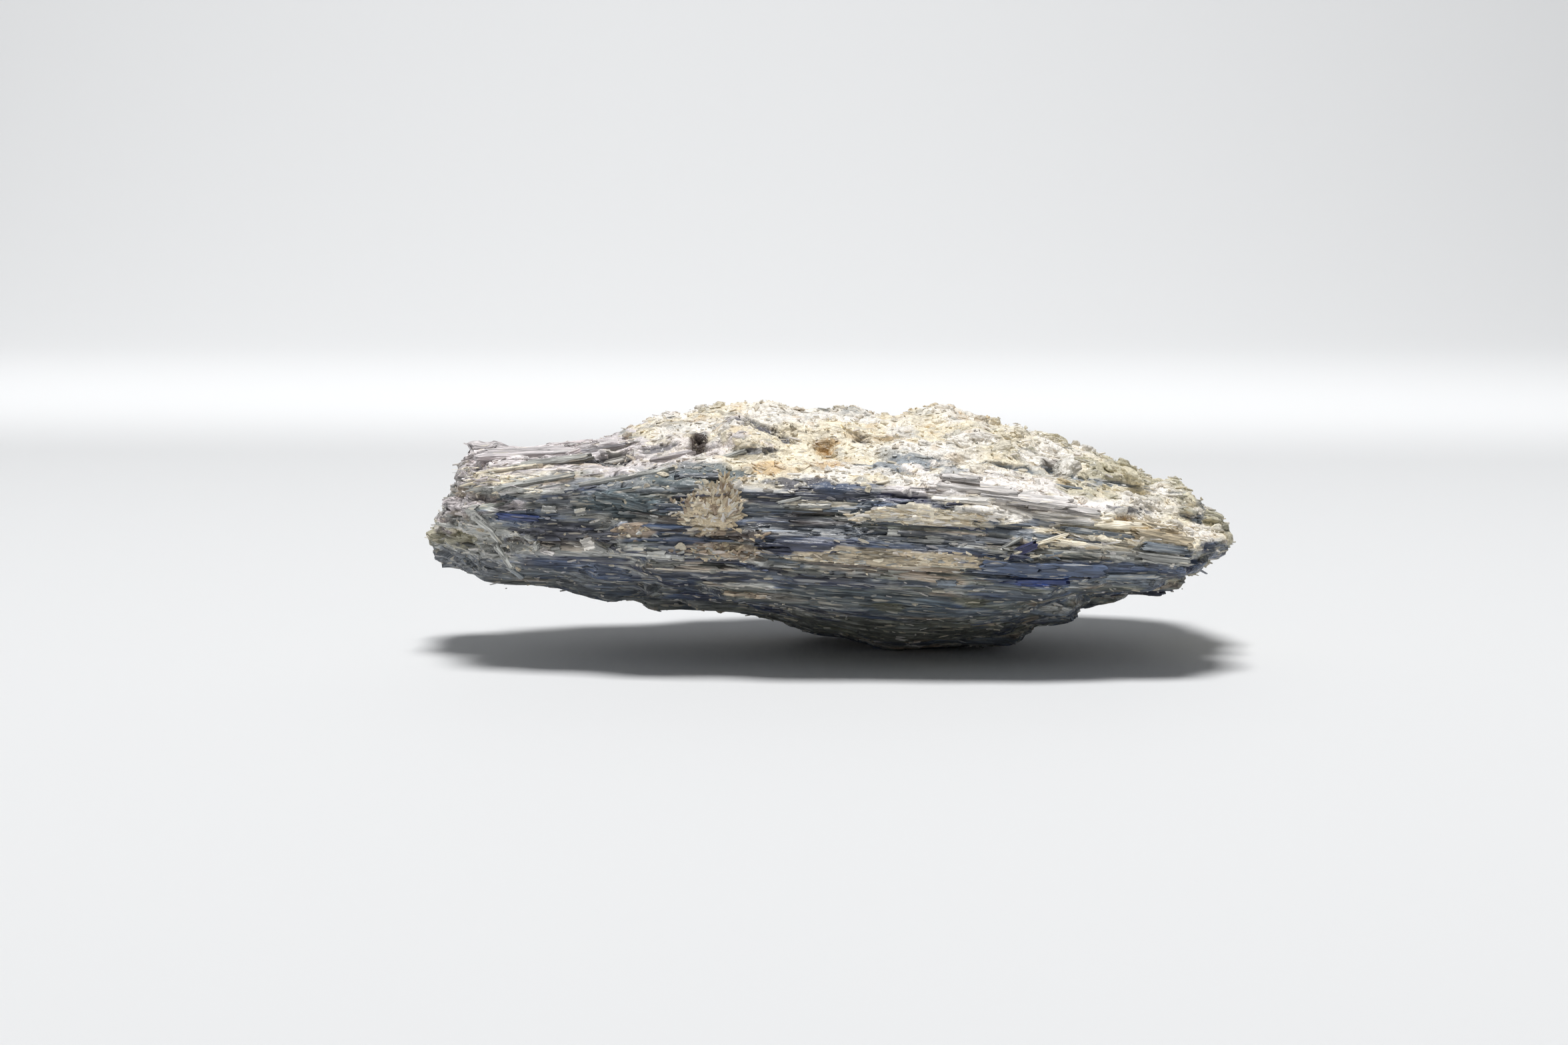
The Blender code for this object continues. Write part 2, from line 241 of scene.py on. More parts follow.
@dataclass(frozen=True)
class Bundle:
    """How the mass splits into blades within blades, which sway a little and have frayed ends."""

    planks: Layer = Layer(11.0, 3.0, 1.5, 201)
    slivers: Layer = Layer(7.0, 1.3, 0.66, 221)
    threads: Layer = Layer(4.5, 0.7, 0.32, 241)
    sway: float = 1.4
    sway_size: tuple[float, float, float] = (24, 6, 6)
    fray: float = 0.07
    fray_size: tuple[float, float, float] = (0.8, 0.5, 0.22)
    start_spread: float = 4
    crown_level: float = 0.3

    def split(self, grain: np.ndarray, layer: Layer) -> tuple[np.ndarray, np.ndarray, np.ndarray]:
        """Find the blade of one size that each place lies in.

        Args:
            grain: Places in grain coordinates.
            layer: The size of the blades.

        Returns:
            A random level from -1 to 1 for each blade, one for its broken end, and its rounded crown.
        """
        swaying = grain / self.sway_size
        up = grain[:, 2] / layer.thickness + Noise.smooth(swaying, layer.salt) * self.sway
        across = grain[:, 1] / layer.width + Noise.smooth(swaying, layer.salt + 1) * self.sway
        row = np.floor(up)
        column = np.floor(across)
        fray = Noise.smooth(grain / self.fray_size, layer.salt + 2) * self.fray
        none = np.zeros_like(row)
        start = Noise.cell(np.stack([row, column, none], axis=1), layer.salt + 3) * self.start_spread
        step = np.floor(grain[:, 0] / layer.length + start + fray)
        level = Noise.cell(np.stack([row, column, step], axis=1), layer.salt + 4)
        end = Noise.cell(np.stack([row, column, none], axis=1), layer.salt + 5)
        crown = self.crown_level - (2 * (up - row) - 1) ** 4
        return level, end, crown

    def levels(self, points: np.ndarray) -> "Levels":
        """Find the blades of every size that places lie in.

        Args:
            points: Places in millimetres.

        Returns:
            The levels, ends and crowns of those blades.
        """
        grain = GRAIN.coordinates(points)
        found = [self.split(grain, layer) for layer in (self.planks, self.slivers, self.threads)]
        return Levels(*[np.stack([part[index] for part in found], axis=1) for index in range(3)])


class Levels(NamedTuple):
    """The random levels of planks, slivers and threads, in three columns, at many places."""

    level: np.ndarray
    end: np.ndarray
    crown: np.ndarray


BUNDLE = Bundle()


@dataclass(frozen=True)
class Zone:
    """An oval patch of one tint, in millimetres.

    A front patch is placed in x and z, a top one in x and y, and one at an end in y and z. Rise lifts or
    sinks the surface there, grit makes it granular, and ragged is how much its rim frays.
    """

    side: Side
    tint: Tint
    x: float
    across: float
    half_length: float
    half_width: float
    strength: float = 0.9
    tilt: float = 0
    rise: float = 0
    grit: float = 0
    ragged: float = 1
    fray: tuple[float, float] = (0.4, 0.35)
    rim: tuple[float, float] = (1.08, 0.92)
    fade: tuple[float, float] = (0.0, 0.35)

    def weights(self, points: np.ndarray, facing: np.ndarray, frayed: np.ndarray) -> np.ndarray:
        """How strongly the patch covers each place.

        Args:
            points: Places in millimetres.
            facing: The outward directions of the surface there.
            frayed: Two columns of noise that fray the patch's rim along the grain and across it.

        Returns:
            Numbers from 0 to 1.
        """
        toward = facing @ np.array(self.side.value)
        endwise = self.side in (Side.LEFT, Side.RIGHT)
        first = points[:, 1 if endwise else 0] - self.x
        second = points[:, 1 if self.side is Side.TOP else 2] - self.across
        turn = math.radians(self.tilt)
        along = first * math.cos(turn) + second * math.sin(turn)
        over = second * math.cos(turn) - first * math.sin(turn)
        length = self.half_length * (1 + self.fray[0] * self.ragged * frayed[:, 0])
        distance = np.hypot(along / length, over / self.half_width)
        distance += self.fray[1] * self.ragged * frayed[:, 1]
        return ramp(*self.rim, distance) * ramp(*self.fade, toward)


LEFT_ZONES = (
    Zone(Side.LEFT, Tint.PALE, -4, 13, 16, 9, 0.8, 0, 0, 0.35),
    Zone(Side.LEFT, Tint.TAN, -8, 15.5, 6, 1.5, 0.7, 0, 0, 0.5),
    Zone(Side.LEFT, Tint.MOSS, -4, 12.0, 6, 1.2, 0.9, 0, 0, 0.6),
    Zone(Side.LEFT, Tint.SLATE, -2, 8.0, 14, 2.5, 0.8),
    # partly painted reflection: the pale lilac on the top of the left end stands for the overhead lamp's
    # reflection on top-facing blades as well as their own colour
    Zone(Side.TOP, Tint.LILAC, -32, 0, 13, 18, 1.0, ragged=0.7),
    Zone(Side.TOP, Tint.LILAC, -18, -13, 8, 5, 0.7),
    Zone(Side.FRONT, Tint.LILAC, -31, 20.2, 9, 1.6, 1.0),
    Zone(Side.FRONT, Tint.CREAM, -29.9, 18.4, 5, 0.6, 0.85, 6, 0.25, 0.3),
    Zone(Side.FRONT, Tint.LILAC, -17, 19.2, 7.6, 0.5, 0.95, 2, 0.3),
    Zone(Side.FRONT, Tint.STEEL, -19.3, 18.0, 8.4, 0.6, 0.75, -1, -0.1),
    Zone(Side.FRONT, Tint.PALE, -30, 17.2, 4.5, 0.5, 0.7),
    # painted shade in the pit sunk on the top at the left
    Zone(Side.TOP, Tint.SHADOW, -21.9, -10.2, 2.5, 2.2, 0.9, 4, -0.6, 0, 0.4),
    Zone(Side.TOP, Tint.BROWN, -29.2, -9.5, 0.8, 1.2, 0.9, 0, -0.4, 0, 0.4),
    Zone(Side.TOP, Tint.NAVY, -17.4, -9.9, 2.4, 1.0, 0.7, 0, -0.2),
    Zone(Side.TOP, Tint.BROWN, -13.1, -10.3, 1.0, 1.9, 1.0, 0, 0, 0, 0.1),
    Zone(Side.FRONT, Tint.TEAL, -20.0, 16.4, 3.7, 1.3, 0.95, 0, 0, 0, 0.7),
    Zone(Side.FRONT, Tint.BLUE, -30.2, 14.8, 3.2, 0.45, 1.0, 2),
    Zone(Side.FRONT, Tint.NAVY, -25.7, 13.5, 4.6, 0.8, 0.85, -1),
    Zone(Side.FRONT, Tint.TAN, -18.8, 13.9, 2.0, 0.8, 0.85, 0, 0.1, 0.5),
    Zone(Side.FRONT, Tint.BROWN, -26.8, 12.5, 4.6, 0.35, 0.85, 0, -0.2),
    Zone(Side.FRONT, Tint.PALE, -16.2, 11.7, 1.6, 0.35, 0.9, 0, 0.15),
    Zone(Side.FRONT, Tint.PALE, -23, 11.4, 5, 0.25, 0.7),
    Zone(Side.FRONT, Tint.BLUE, -24.4, 9.6, 6.4, 1.0, 0.75, -9),
    Zone(Side.FRONT, Tint.NAVY, -14, 9.6, 6, 0.7, 0.6, -5),
    Zone(Side.FRONT, Tint.PALE, -8.6, 8.4, 2.6, 0.4, 0.75, -2),
)

MIDDLE_ZONES = (
    Zone(Side.FRONT, Tint.TEAL, -13.4, 19.0, 5.8, 0.9, 0.95, 1, 0, 0, 0.4),
    Zone(Side.FRONT, Tint.OCHRE, -6.7, 19.5, 2.0, 0.45, 0.85, 0, 0, 0.4),
    Zone(Side.FRONT, Tint.OCHRE, -1.0, 19.4, 1.9, 0.5, 0.85, 0, 0, 0.4),
    Zone(Side.FRONT, Tint.NAVY, -8.0, 20.9, 1.8, 0.3, 0.8),
    Zone(Side.FRONT, Tint.SAND, -11.7, 15.8, 2.9, 2.1, 1.0, 20, 0.2, 0.95, 0.7),
    Zone(Side.FRONT, Tint.BROWN, -15.5, 14.6, 1.6, 0.8, 0.8),
    Zone(Side.FRONT, Tint.BROWN, -9.3, 13.6, 3.4, 0.6, 0.85, 0, 0, 0.2),
    Zone(Side.FRONT, Tint.TAN, -11.1, 12.1, 3.7, 0.7, 0.85, 0, 0, 0.5),
    # painted shade: the four dark strips below stand for the shade in crevices between blades
    Zone(Side.FRONT, Tint.SHADOW, -5.4, 12.6, 1.8, 0.25, 1.0, 0, -0.4),
    Zone(Side.FRONT, Tint.SHADOW, -10.6, 10.9, 3.1, 0.3, 1.0, -1, -0.5),
    Zone(Side.FRONT, Tint.SHADOW, -5.5, 10.2, 2.8, 0.28, 1.0, -2, -0.5),
    Zone(Side.FRONT, Tint.SHADOW, -0.4, 9.6, 3.7, 0.2, 1.0, -1, -0.4),
    Zone(Side.FRONT, Tint.NAVY, -1.4, 17.7, 6.2, 1.2, 0.85),
    Zone(Side.FRONT, Tint.BLUE, 0.6, 18.0, 4.0, 0.5, 0.8),
    Zone(Side.FRONT, Tint.DEEP, 6.3, 16.9, 2.6, 0.5, 1.0, -8, 0, 0, 0.5),
    Zone(Side.FRONT, Tint.PALE, -2.0, 16.4, 2.2, 0.28, 0.9, 1, 0.12),
    Zone(Side.FRONT, Tint.BROWN, -2.3, 15.5, 4.2, 0.3, 0.8),
    Zone(Side.FRONT, Tint.NAVY, -3.0, 14.6, 5.0, 0.6, 0.7),
    Zone(Side.FRONT, Tint.CREAM, 8.6, 15.6, 8.0, 0.8, 1.0, -4, 0.4, 0.5),
    Zone(Side.FRONT, Tint.LILAC, 6.6, 17.6, 2.4, 0.35, 0.85, -8, 0.1),
    Zone(Side.FRONT, Tint.SLATE, 4.7, 13.7, 9.3, 0.75, 0.9, -2),
    Zone(Side.FRONT, Tint.PALE, 9.3, 13.5, 1.2, 0.4, 0.7),
    Zone(Side.FRONT, Tint.SAND, 5.3, 11.7, 9.3, 0.8, 0.85, -3, 0.2, 0.45),
    Zone(Side.FRONT, Tint.BROWN, 5.0, 10.6, 9.0, 0.2, 0.8, -3, -0.2),
    Zone(Side.FRONT, Tint.PALE, 10.3, 9.2, 1.5, 0.5, 0.7),
    Zone(Side.FRONT, Tint.TEAL, 4.0, 6.8, 12, 1.2, 0.5, -3),
    Zone(Side.FRONT, Tint.OLIVE, 12.9, 6.7, 1.7, 0.7, 0.8, -3),
    Zone(Side.FRONT, Tint.OLIVE, 5.3, 6.2, 1.5, 0.5, 0.8),
    Zone(Side.FRONT, Tint.OLIVE, 3.0, 3.2, 16, 1.4, 0.6),
)

TOP_ZONES = (
    Zone(Side.TOP, Tint.NAVY, -6.7, -10.2, 3.3, 1.5, 0.9, 0, -0.4),
    Zone(Side.TOP, Tint.OCHRE, -1.0, -10.4, 1.1, 1.5, 0.9),
    Zone(Side.TOP, Tint.BROWN, 2.8, -8.5, 0.8, 1.6, 0.7),
    Zone(Side.TOP, Tint.BROWN, 21.1, -10.2, 1.1, 2.0, 0.6),
    Zone(Side.TOP, Tint.STEEL, 7.8, -15.0, 5.5, 1.5, 0.85),
    Zone(Side.TOP, Tint.TEAL, 1.5, 4.0, 4.5, 3.0, 0.6, 0, 0, 0, 1.0),
)

RIGHT_ZONES = (
    Zone(Side.RIGHT, Tint.MOSS, 0, 13.0, 12, 6, 0.85, 0, 0, 0.6),
    # partly painted reflection: the silver slab's near-white paint stands for the overhead lamp's reflection as
    # well as its own pale colour
    Zone(Side.FRONT, Tint.LILAC, 17.0, 16.4, 7.0, 0.9, 0.9, -6, 0.1),
    Zone(Side.FRONT, Tint.WHITE, 19.5, 15.6, 8.5, 1.2, 1.0, -6, 0.1, 0.2),
    Zone(Side.FRONT, Tint.SILVER, 14.4, 17.9, 6.8, 1.2, 1.0, -8, 0.3, 0, 0.7),
    Zone(Side.FRONT, Tint.SILVER, 20.5, 16.6, 5.0, 0.6, 0.9, -7),
    Zone(Side.FRONT, Tint.STEEL, 11.0, 18.9, 1.7, 0.5, 0.8),
    Zone(Side.FRONT, Tint.STEEL, 23.0, 18.2, 9.3, 0.3, 0.9, -10, -0.2),
    Zone(Side.FRONT, Tint.CREAM, 26.7, 13.8, 7.6, 1.4, 1.0, -7, 0.1, 0.5),
    Zone(Side.FRONT, Tint.OCHRE, 27.3, 14.8, 1.5, 0.5, 0.9, 0, -0.4, 0.3),
    Zone(Side.FRONT, Tint.NAVY, 28.0, 15.5, 2.0, 0.3, 0.8, -8),
    Zone(Side.FRONT, Tint.PALE, 28.5, 11.9, 6.5, 0.8, 0.85, -7, 0, 0.3),
    Zone(Side.FRONT, Tint.BLUE, 21.6, 10.4, 9.0, 0.6, 0.95, -5, 0.3),
    Zone(Side.FRONT, Tint.COBALT, 19.3, 9.3, 2.9, 0.4, 1.0, -3, 0.1, 0, 0.4),
    # painted shade: the two dark strips below stand for the shade in the gaps along the proud blue blade
    Zone(Side.FRONT, Tint.SHADOW, 24.0, 9.5, 5.4, 0.22, 1.0, -5, -0.6, 0, 0.5),
    Zone(Side.FRONT, Tint.SHADOW, 15.8, 10.1, 3.4, 0.2, 1.0, -3, -0.5, 0, 0.6),
    Zone(Side.FRONT, Tint.NAVY, 31.0, 9.6, 2.2, 0.5, 0.8, -5),
)

ZONES = LEFT_ZONES + MIDDLE_ZONES + TOP_ZONES + RIGHT_ZONES


class Surface(NamedTuple):
    """What the stone is made of at many places: colour, crustiness, grit and the rise of its patches."""

    colour: np.ndarray
    crust: np.ndarray
    grit: np.ndarray
    rise: np.ndarray


@dataclass(frozen=True)
class Pigment:
    """Decides the stone's colour, crust and patches at any place.

    The crust lies on what looks up, right of its left limit and above its lower one, which drops to the right
    of its bend. Each range runs from where the crust starts to where it is full.
    """

    zones: tuple[Zone, ...] = ZONES
    crust_patch: float = 5
    crust_streak: tuple[float, float, float] = (4, 1.5, 1.5)
    crust_slope: tuple[float, float] = (0.25, 0.55)
    crust_left: tuple[float, float] = (-26, -17)
    crust_low: tuple[float, float] = (17.6, 18.8)
    crust_bend: float = 6
    crust_drop: float = 0.26
    broad_size: tuple[float, float, float] = (17, 5, 2.6)
    warm_size: tuple[float, float, float] = (9, 1.5, 0.8)
    stain_sizes: tuple[float, float] = (3.2, 1.2)
    mossy: tuple[float, float] = (8, 26)
    end_fray: tuple[float, float, float] = (12, 0.8, 0.4)
    rim_fray: tuple[float, float, float] = (2.4, 1.2, 0.7)

    def crust(self, points: np.ndarray, facing: np.ndarray, levels: Levels) -> np.ndarray:
        """How thickly mica and quartz cover places, thickest on the top right.

        Args:
            points: Places in millimetres.
            facing: The outward directions of the surface there.
            levels: The levels of the blades there.

        Returns:
            Numbers from 0 to 1.
        """
        patchy = Noise.smooth(points / self.crust_patch, 101) * 0.5
        patchy = patchy + Noise.smooth(points / self.crust_streak, 102) * 0.35
        patchy += levels.level @ np.array((0.1, 0.2, 0.15))
        upward = ramp(*self.crust_slope, facing[:, 2] + patchy * 0.5)
        right = ramp(*self.crust_left, points[:, 0] + patchy * 6)
        drop = np.maximum(0, points[:, 0] - self.crust_bend) * self.crust_drop
        return upward * right * ramp(*self.crust_low, points[:, 2] + drop + patchy)

    def bare(self, points: np.ndarray, levels: Levels) -> np.ndarray:
        """The streaky blue-grey of bare blades.

        Args:
            points: Places in millimetres.
            levels: The levels of the blades there.

        Returns:
            Linear colours.
        """
        grain = GRAIN.coordinates(points)
        broad = Noise.smooth(grain / self.broad_size, 111)
        warm = Noise.smooth(grain / self.warm_size, 115)
        tone = 0.5 * broad + levels.level @ np.array((0.3, 0.3, 0.2))
        pale = 0.4 * warm + levels.level @ np.array((-0.1, -0.35, 0.4))
        colour = np.tile(Tint.SLATE.linear(), (len(points), 1))
        colour = mix(colour, Tint.BLUE.linear(), 0.9 * ramp(0.0, 0.3, tone))
        colour = mix(colour, Tint.NAVY.linear(), 0.9 * ramp(0.3, 0.5, tone))
        colour = mix(colour, Tint.STEEL.linear(), 0.8 * ramp(-0.05, -0.35, tone))
        colour = mix(colour, Tint.OLIVE.linear(), 0.6 * ramp(0.25, 0.5, warm + 0.25 * levels.level[:, 1]))
        colour = mix(colour, Tint.PALE.linear(), 0.85 * ramp(0.3, 0.45, pale))
        colour = mix(colour, Tint.TAN.linear(), 0.7 * ramp(0.6, 0.75, warm + 0.3 * levels.level[:, 2]))
        return colour * np.exp(levels.level @ np.array((0.08, 0.16, 0.26)))[:, None]

    def crust_colour(self, points: np.ndarray) -> np.ndarray:
        """The cream, ochre and olive of the crust, mossier to the right.

        Args:
            points: Places in millimetres.

        Returns:
            Linear colours.
        """
        patch = Noise.smooth(points / self.stain_sizes[0], 121)
        stain = Noise.smooth(points / self.stain_sizes[1], 122)
        mossy = ramp(*self.mossy, points[:, 0]) * ramp(-0.3, 0.4, stain * 0.6 + patch * 0.6)
        colour = np.tile(Tint.WHITE.linear(), (len(points), 1))
        colour = mix(colour, Tint.CREAM.linear(), ramp(-0.4, 0.3, patch))
        colour = mix(colour, Tint.MOSS.linear(), 0.8 * mossy)
        return mix(colour, Tint.OCHRE.linear(), 0.4 * ramp(0.4, 0.7, stain))

    def at(self, points: np.ndarray, facing: np.ndarray, levels: Levels) -> Surface:
        """Everything about the stone's surface at many places.

        Args:
            points: Places in millimetres.
            facing: The outward directions of the surface there.
            levels: The levels of the blades there.

        Returns:
            The colours, crust, grit and rise.
        """
        grain = GRAIN.coordinates(points)
        ends = Noise.smooth(grain / self.end_fray, 131) + 0.5 * levels.level[:, 2]
        rims = Noise.smooth(grain / self.rim_fray, 132) + levels.level @ np.array((0, 0.5, 0.5))
        frayed = np.stack([ends, rims], axis=1)
        crust = self.crust(points, facing, levels)
        colour = mix(self.bare(points, levels), self.crust_colour(points), crust)
        grit = np.zeros(len(points))
        rise = np.zeros(len(points))
        for zone in self.zones:
            weight = zone.weights(points, facing, frayed)
            shade = np.exp(levels.level @ np.array((0.05, 0.12, 0.2)) * zone.ragged)[:, None]
            colour = mix(colour, zone.tint.linear() * shade, weight * zone.strength)
            grit = grit * (1 - weight) + zone.grit * weight
            rise = rise * (1 - weight) + zone.rise * weight
        return Surface(colour, crust, grit, rise)


PIGMENT = Pigment()


@dataclass(frozen=True)
class Relief:
    """The height of the fine surface above the plain one, in millimetres.

    It steps from blade to blade along the sides and from broken end to broken end at the two ends. Under the
    rock it is calmer.
    """

    steps: tuple[float, float, float] = (0.26, 0.17, 0.09)
    crowns: tuple[float, float, float] = (0.12, 0.09, 0.05)
    end_steps: tuple[float, float, float] = (0.5, 0.5, 0.2)
    end_slope: tuple[float, float] = (0.4, 0.6)
    crease: float = 0.12
    crease_size: tuple[float, float, float] = (9, 1.0, 0.8)
    lump_height: float = 0.6
    lump_sizes: tuple[float, float, float] = (3.4, 1.5, 0.6)
    grit_height: float = 0.2
    grit_sizes: tuple[float, float] = (1.1, 0.45)
    calm: float = 0.55
    calm_slope: tuple[float, float] = (0.3, 0.8)

    def heights(
        self, points: np.ndarray, facing: np.ndarray, levels: Levels, surface: Surface
    ) -> np.ndarray:
        """The height at many places.

        Args:
            points: Places in millimetres.
            facing: The outward directions of the surface there.
            levels: The levels of the blades there.
            surface: What the stone is made of there.

        Returns:
            Heights in millimetres, which may be negative.
        """
        grain = GRAIN.coordinates(points)
        sides = levels.level @ np.array(self.steps) + levels.crown @ np.array(self.crowns)
        sides += self.crease * Noise.ridges(grain / self.crease_size, 241)
        ends = levels.end @ np.array(self.end_steps) + 0.15 * Noise.smooth(points / 0.5, 243)
        endwise = ramp(*self.end_slope, np.abs(facing[:, 0]))
        bladed = sides + (ends - sides) * endwise
        broad, middling, fine = self.lump_sizes
        lumps = 0.6 * Noise.nodules(points / broad, 251) + 0.45 * Noise.nodules(points / middling, 261)
        lumps += 0.25 * Noise.smooth(points / fine, 271)
        coarse, dusty = self.grit_sizes
        grit = Noise.nodules(points / coarse, 281) + 0.6 * Noise.smooth(points / dusty, 291)
        granular = np.maximum(surface.crust, surface.grit * 0.8)
        heights = bladed * (1 - 0.75 * granular) + self.lump_height * lumps * surface.crust
        heights += self.grit_height * grit * surface.grit + surface.rise
        return heights * (1 - self.calm * ramp(*self.calm_slope, -facing[:, 2]))


RELIEF = Relief()


class Finish:
    """Shared steps of the stone's materials."""

    @staticmethod
    def new(name: str) -> tuple[bpy.types.Material, bpy.types.NodeTree, bpy.types.Node]:
        """An empty material with its node tree and its shader.

        Args:
            name: The material's name.

        Returns:
            The material, its tree and its Principled BSDF node.
        """
        material = bpy.data.materials.new(name)
        material.use_nodes = True
        tree = material.node_tree
        return material, tree, tree.nodes["Principled BSDF"]

    @staticmethod
    def attribute(tree: bpy.types.NodeTree, name: str) -> bpy.types.Node:
        """Read one of the mesh's own attributes.

        Args:
            tree: The tree to add the node to.
            name: The attribute's name.

        Returns:
            The node.
        """
        node = tree.nodes.new("ShaderNodeAttribute")
        node.attribute_name = name
        return node

    @staticmethod
    def along_grain(
        tree: bpy.types.NodeTree, kind: str, stretch: tuple[float, float, float]
    ) -> bpy.types.Node:
        """A texture laid along the blades.

        Args:
            tree: The tree to add it to.
            kind: The type of the texture node.
            stretch: How many features lie in a millimetre along, across and up.

        Returns:
            The texture node.
        """
        mapping = tree.nodes.new("ShaderNodeMapping")
        mapping.inputs["Scale"].default_value = stretch
        tree.links.new(Finish.attribute(tree, "grain").outputs["Vector"], mapping.inputs["Vector"])
        texture = tree.nodes.new(kind)
        texture.inputs["Scale"].default_value = 1
        tree.links.new(mapping.outputs["Vector"], texture.inputs["Vector"])
        return texture

    @staticmethod
    def streaks(
        tree: bpy.types.NodeTree, stretch: tuple[float, float, float], detail: float
    ) -> bpy.types.NodeSocket:
        """Noise drawn out along the blades.

        Args:
            tree: The tree to add it to.
            stretch: How many features lie in a millimetre along, across and up.
            detail: The noise's detail.

        Returns:
            The noise as a number near 0.5.
        """
        texture = Finish.along_grain(tree, "ShaderNodeTexNoise", stretch)
        texture.inputs["Detail"].default_value = detail
        return texture.outputs["Fac"]

    @staticmethod
    def chips(
        tree: bpy.types.NodeTree, stretch: tuple[float, float, float]
    ) -> tuple[bpy.types.NodeSocket, bpy.types.NodeSocket]:
        """Angular chips drawn out along the blades.

        Args:
            tree: The tree to add them to.
            stretch: How many chips lie in a millimetre along, across and up.

        Returns:
            A random number from 0 to 1 for each chip, and the distance from the chip's heart.
        """
        texture = Finish.along_grain(tree, "ShaderNodeTexVoronoi", stretch)
        parts = tree.nodes.new("ShaderNodeSeparateColor")
        tree.links.new(texture.outputs["Color"], parts.inputs["Color"])
        return parts.outputs["Red"], texture.outputs["Distance"]

    @staticmethod
    def spread(
        tree: bpy.types.NodeTree,
        source: bpy.types.NodeSocket,
        low: float,
        high: float,
        start: float,
        end: float,
    ) -> bpy.types.NodeSocket:
        """Map one range of numbers to another.

        Args:
            tree: The tree to add the node to.
            source: The value that is mapped.
            low: The input that gives start.
            high: The input that gives end.
            start: The output at low.
            end: The output at high.

        Returns:
            The output socket.
        """
        node = tree.nodes.new("ShaderNodeMapRange")
        node.inputs["From Min"].default_value = low
        node.inputs["From Max"].default_value = high
        node.inputs["To Min"].default_value = start
        node.inputs["To Max"].default_value = end
        tree.links.new(source, node.inputs["Value"])
        return node.outputs["Result"]

    @staticmethod
    def crease(tree: bpy.types.NodeTree, source: bpy.types.NodeSocket, width: float) -> bpy.types.NodeSocket:
        """Turn noise into thin seams along its middle contour.

        Args:
            tree: The tree to add the nodes to.
            source: The noise.
            width: The half-width of a seam, in the noise's own units.

        Returns:
            A number that is 0 in a seam and 1 away from it.
        """
        centred = Finish.mathematics(tree, "SUBTRACT", source, 0.5)
        return Finish.spread(tree, Finish.mathematics(tree, "ABSOLUTE", centred, 0), 0, width, 0, 1)

    @staticmethod
    def mathematics(
        tree: bpy.types.NodeTree,
        operation: str,
        first: bpy.types.NodeSocket,
        second: bpy.types.NodeSocket | float,
    ) -> bpy.types.NodeSocket:
        """Work out one number from one or two others.

        Args:
            tree: The tree to add the node to.
            operation: The name of the operation.
            first: The first number.
            second: The second number, as a socket or a constant.

        Returns:
            The result.
        """
        node = tree.nodes.new("ShaderNodeMath")
        node.operation = operation
        tree.links.new(first, node.inputs[0])
        if isinstance(second, (int, float)):
            node.inputs[1].default_value = second
        else:
            tree.links.new(second, node.inputs[1])
        return node.outputs[0]

    @staticmethod
    def total(
        tree: bpy.types.NodeTree, parts: list[tuple[bpy.types.NodeSocket, float]]
    ) -> bpy.types.NodeSocket:
        """Add up numbers, each with its own weight.

        Args:
            tree: The tree to add the nodes to.
            parts: The numbers and their weights.

        Returns:
            The sum.
        """
        result = None
        for number, weight in parts:
            part = Finish.mathematics(tree, "MULTIPLY", number, weight)
            result = Finish.mathematics(tree, "ADD", result, part) if result else part
        return result

    @staticmethod
    def product(tree: bpy.types.NodeTree, parts: list[bpy.types.NodeSocket]) -> bpy.types.NodeSocket:
        """Multiply numbers together.

        Args:
            tree: The tree to add the nodes to.
            parts: The numbers.

        Returns:
            The product.
        """
        result = parts[0]
        for part in parts[1:]:
            result = Finish.mathematics(tree, "MULTIPLY", result, part)
        return result

    @staticmethod
    def between(
        tree: bpy.types.NodeTree,
        share: bpy.types.NodeSocket,
        first: bpy.types.NodeSocket,
        second: bpy.types.NodeSocket,
    ) -> bpy.types.NodeSocket:
        """Blend two numbers.

        Args:
            tree: The tree to add the node to.
            share: 0 for the first number and 1 for the second.
            first: The first number.
            second: The second number.

        Returns:
            The blend.
        """
        node = tree.nodes.new("ShaderNodeMix")
        tree.links.new(share, node.inputs[0])
        tree.links.new(first, node.inputs[2])
        tree.links.new(second, node.inputs[3])
        return node.outputs[0]

    @staticmethod
    def times(
        tree: bpy.types.NodeTree, colour: bpy.types.NodeSocket, factor: bpy.types.NodeSocket
    ) -> bpy.types.NodeSocket:
        """A colour scaled by a number.

        Args:
            tree: The tree to add the node to.
            colour: The colour.
            factor: The number.

        Returns:
            The scaled colour.
        """
        node = tree.nodes.new("ShaderNodeVectorMath")
        node.operation = "SCALE"
        tree.links.new(colour, node.inputs[0])
        tree.links.new(factor, node.inputs["Scale"])
        return node.outputs["Vector"]

    @staticmethod
    def over(
        tree: bpy.types.NodeTree, factor: bpy.types.NodeSocket, below: bpy.types.NodeSocket, tint: Tint
    ) -> bpy.types.NodeSocket:
        """Lay a flat tint over a colour.

        Args:
            tree: The tree to add the node to.
            factor: How much of the tint shows.
            below: The colour under it.
            tint: The tint.

        Returns:
            The mixed colour.
        """
        node = tree.nodes.new("ShaderNodeMix")
        node.data_type = "RGBA"
        node.inputs[7].default_value = (*tint.linear(), 1)
        tree.links.new(factor, node.inputs[0])
        tree.links.new(below, node.inputs[6])
        return node.outputs[2]

    @staticmethod
    def bump(tree: bpy.types.NodeTree, shader: bpy.types.Node, height: bpy.types.NodeSocket) -> None:
        """Bump a shader's normal.

        Args:
            tree: The tree to add the node to.
            shader: The shader.
            height: The height in millimetres.
        """
        node = tree.nodes.new("ShaderNodeBump")
        node.inputs["Strength"].default_value = 1
        node.inputs["Distance"].default_value = MM
        tree.links.new(height, node.inputs["Height"])
        tree.links.new(node.outputs["Normal"], shader.inputs["Normal"])


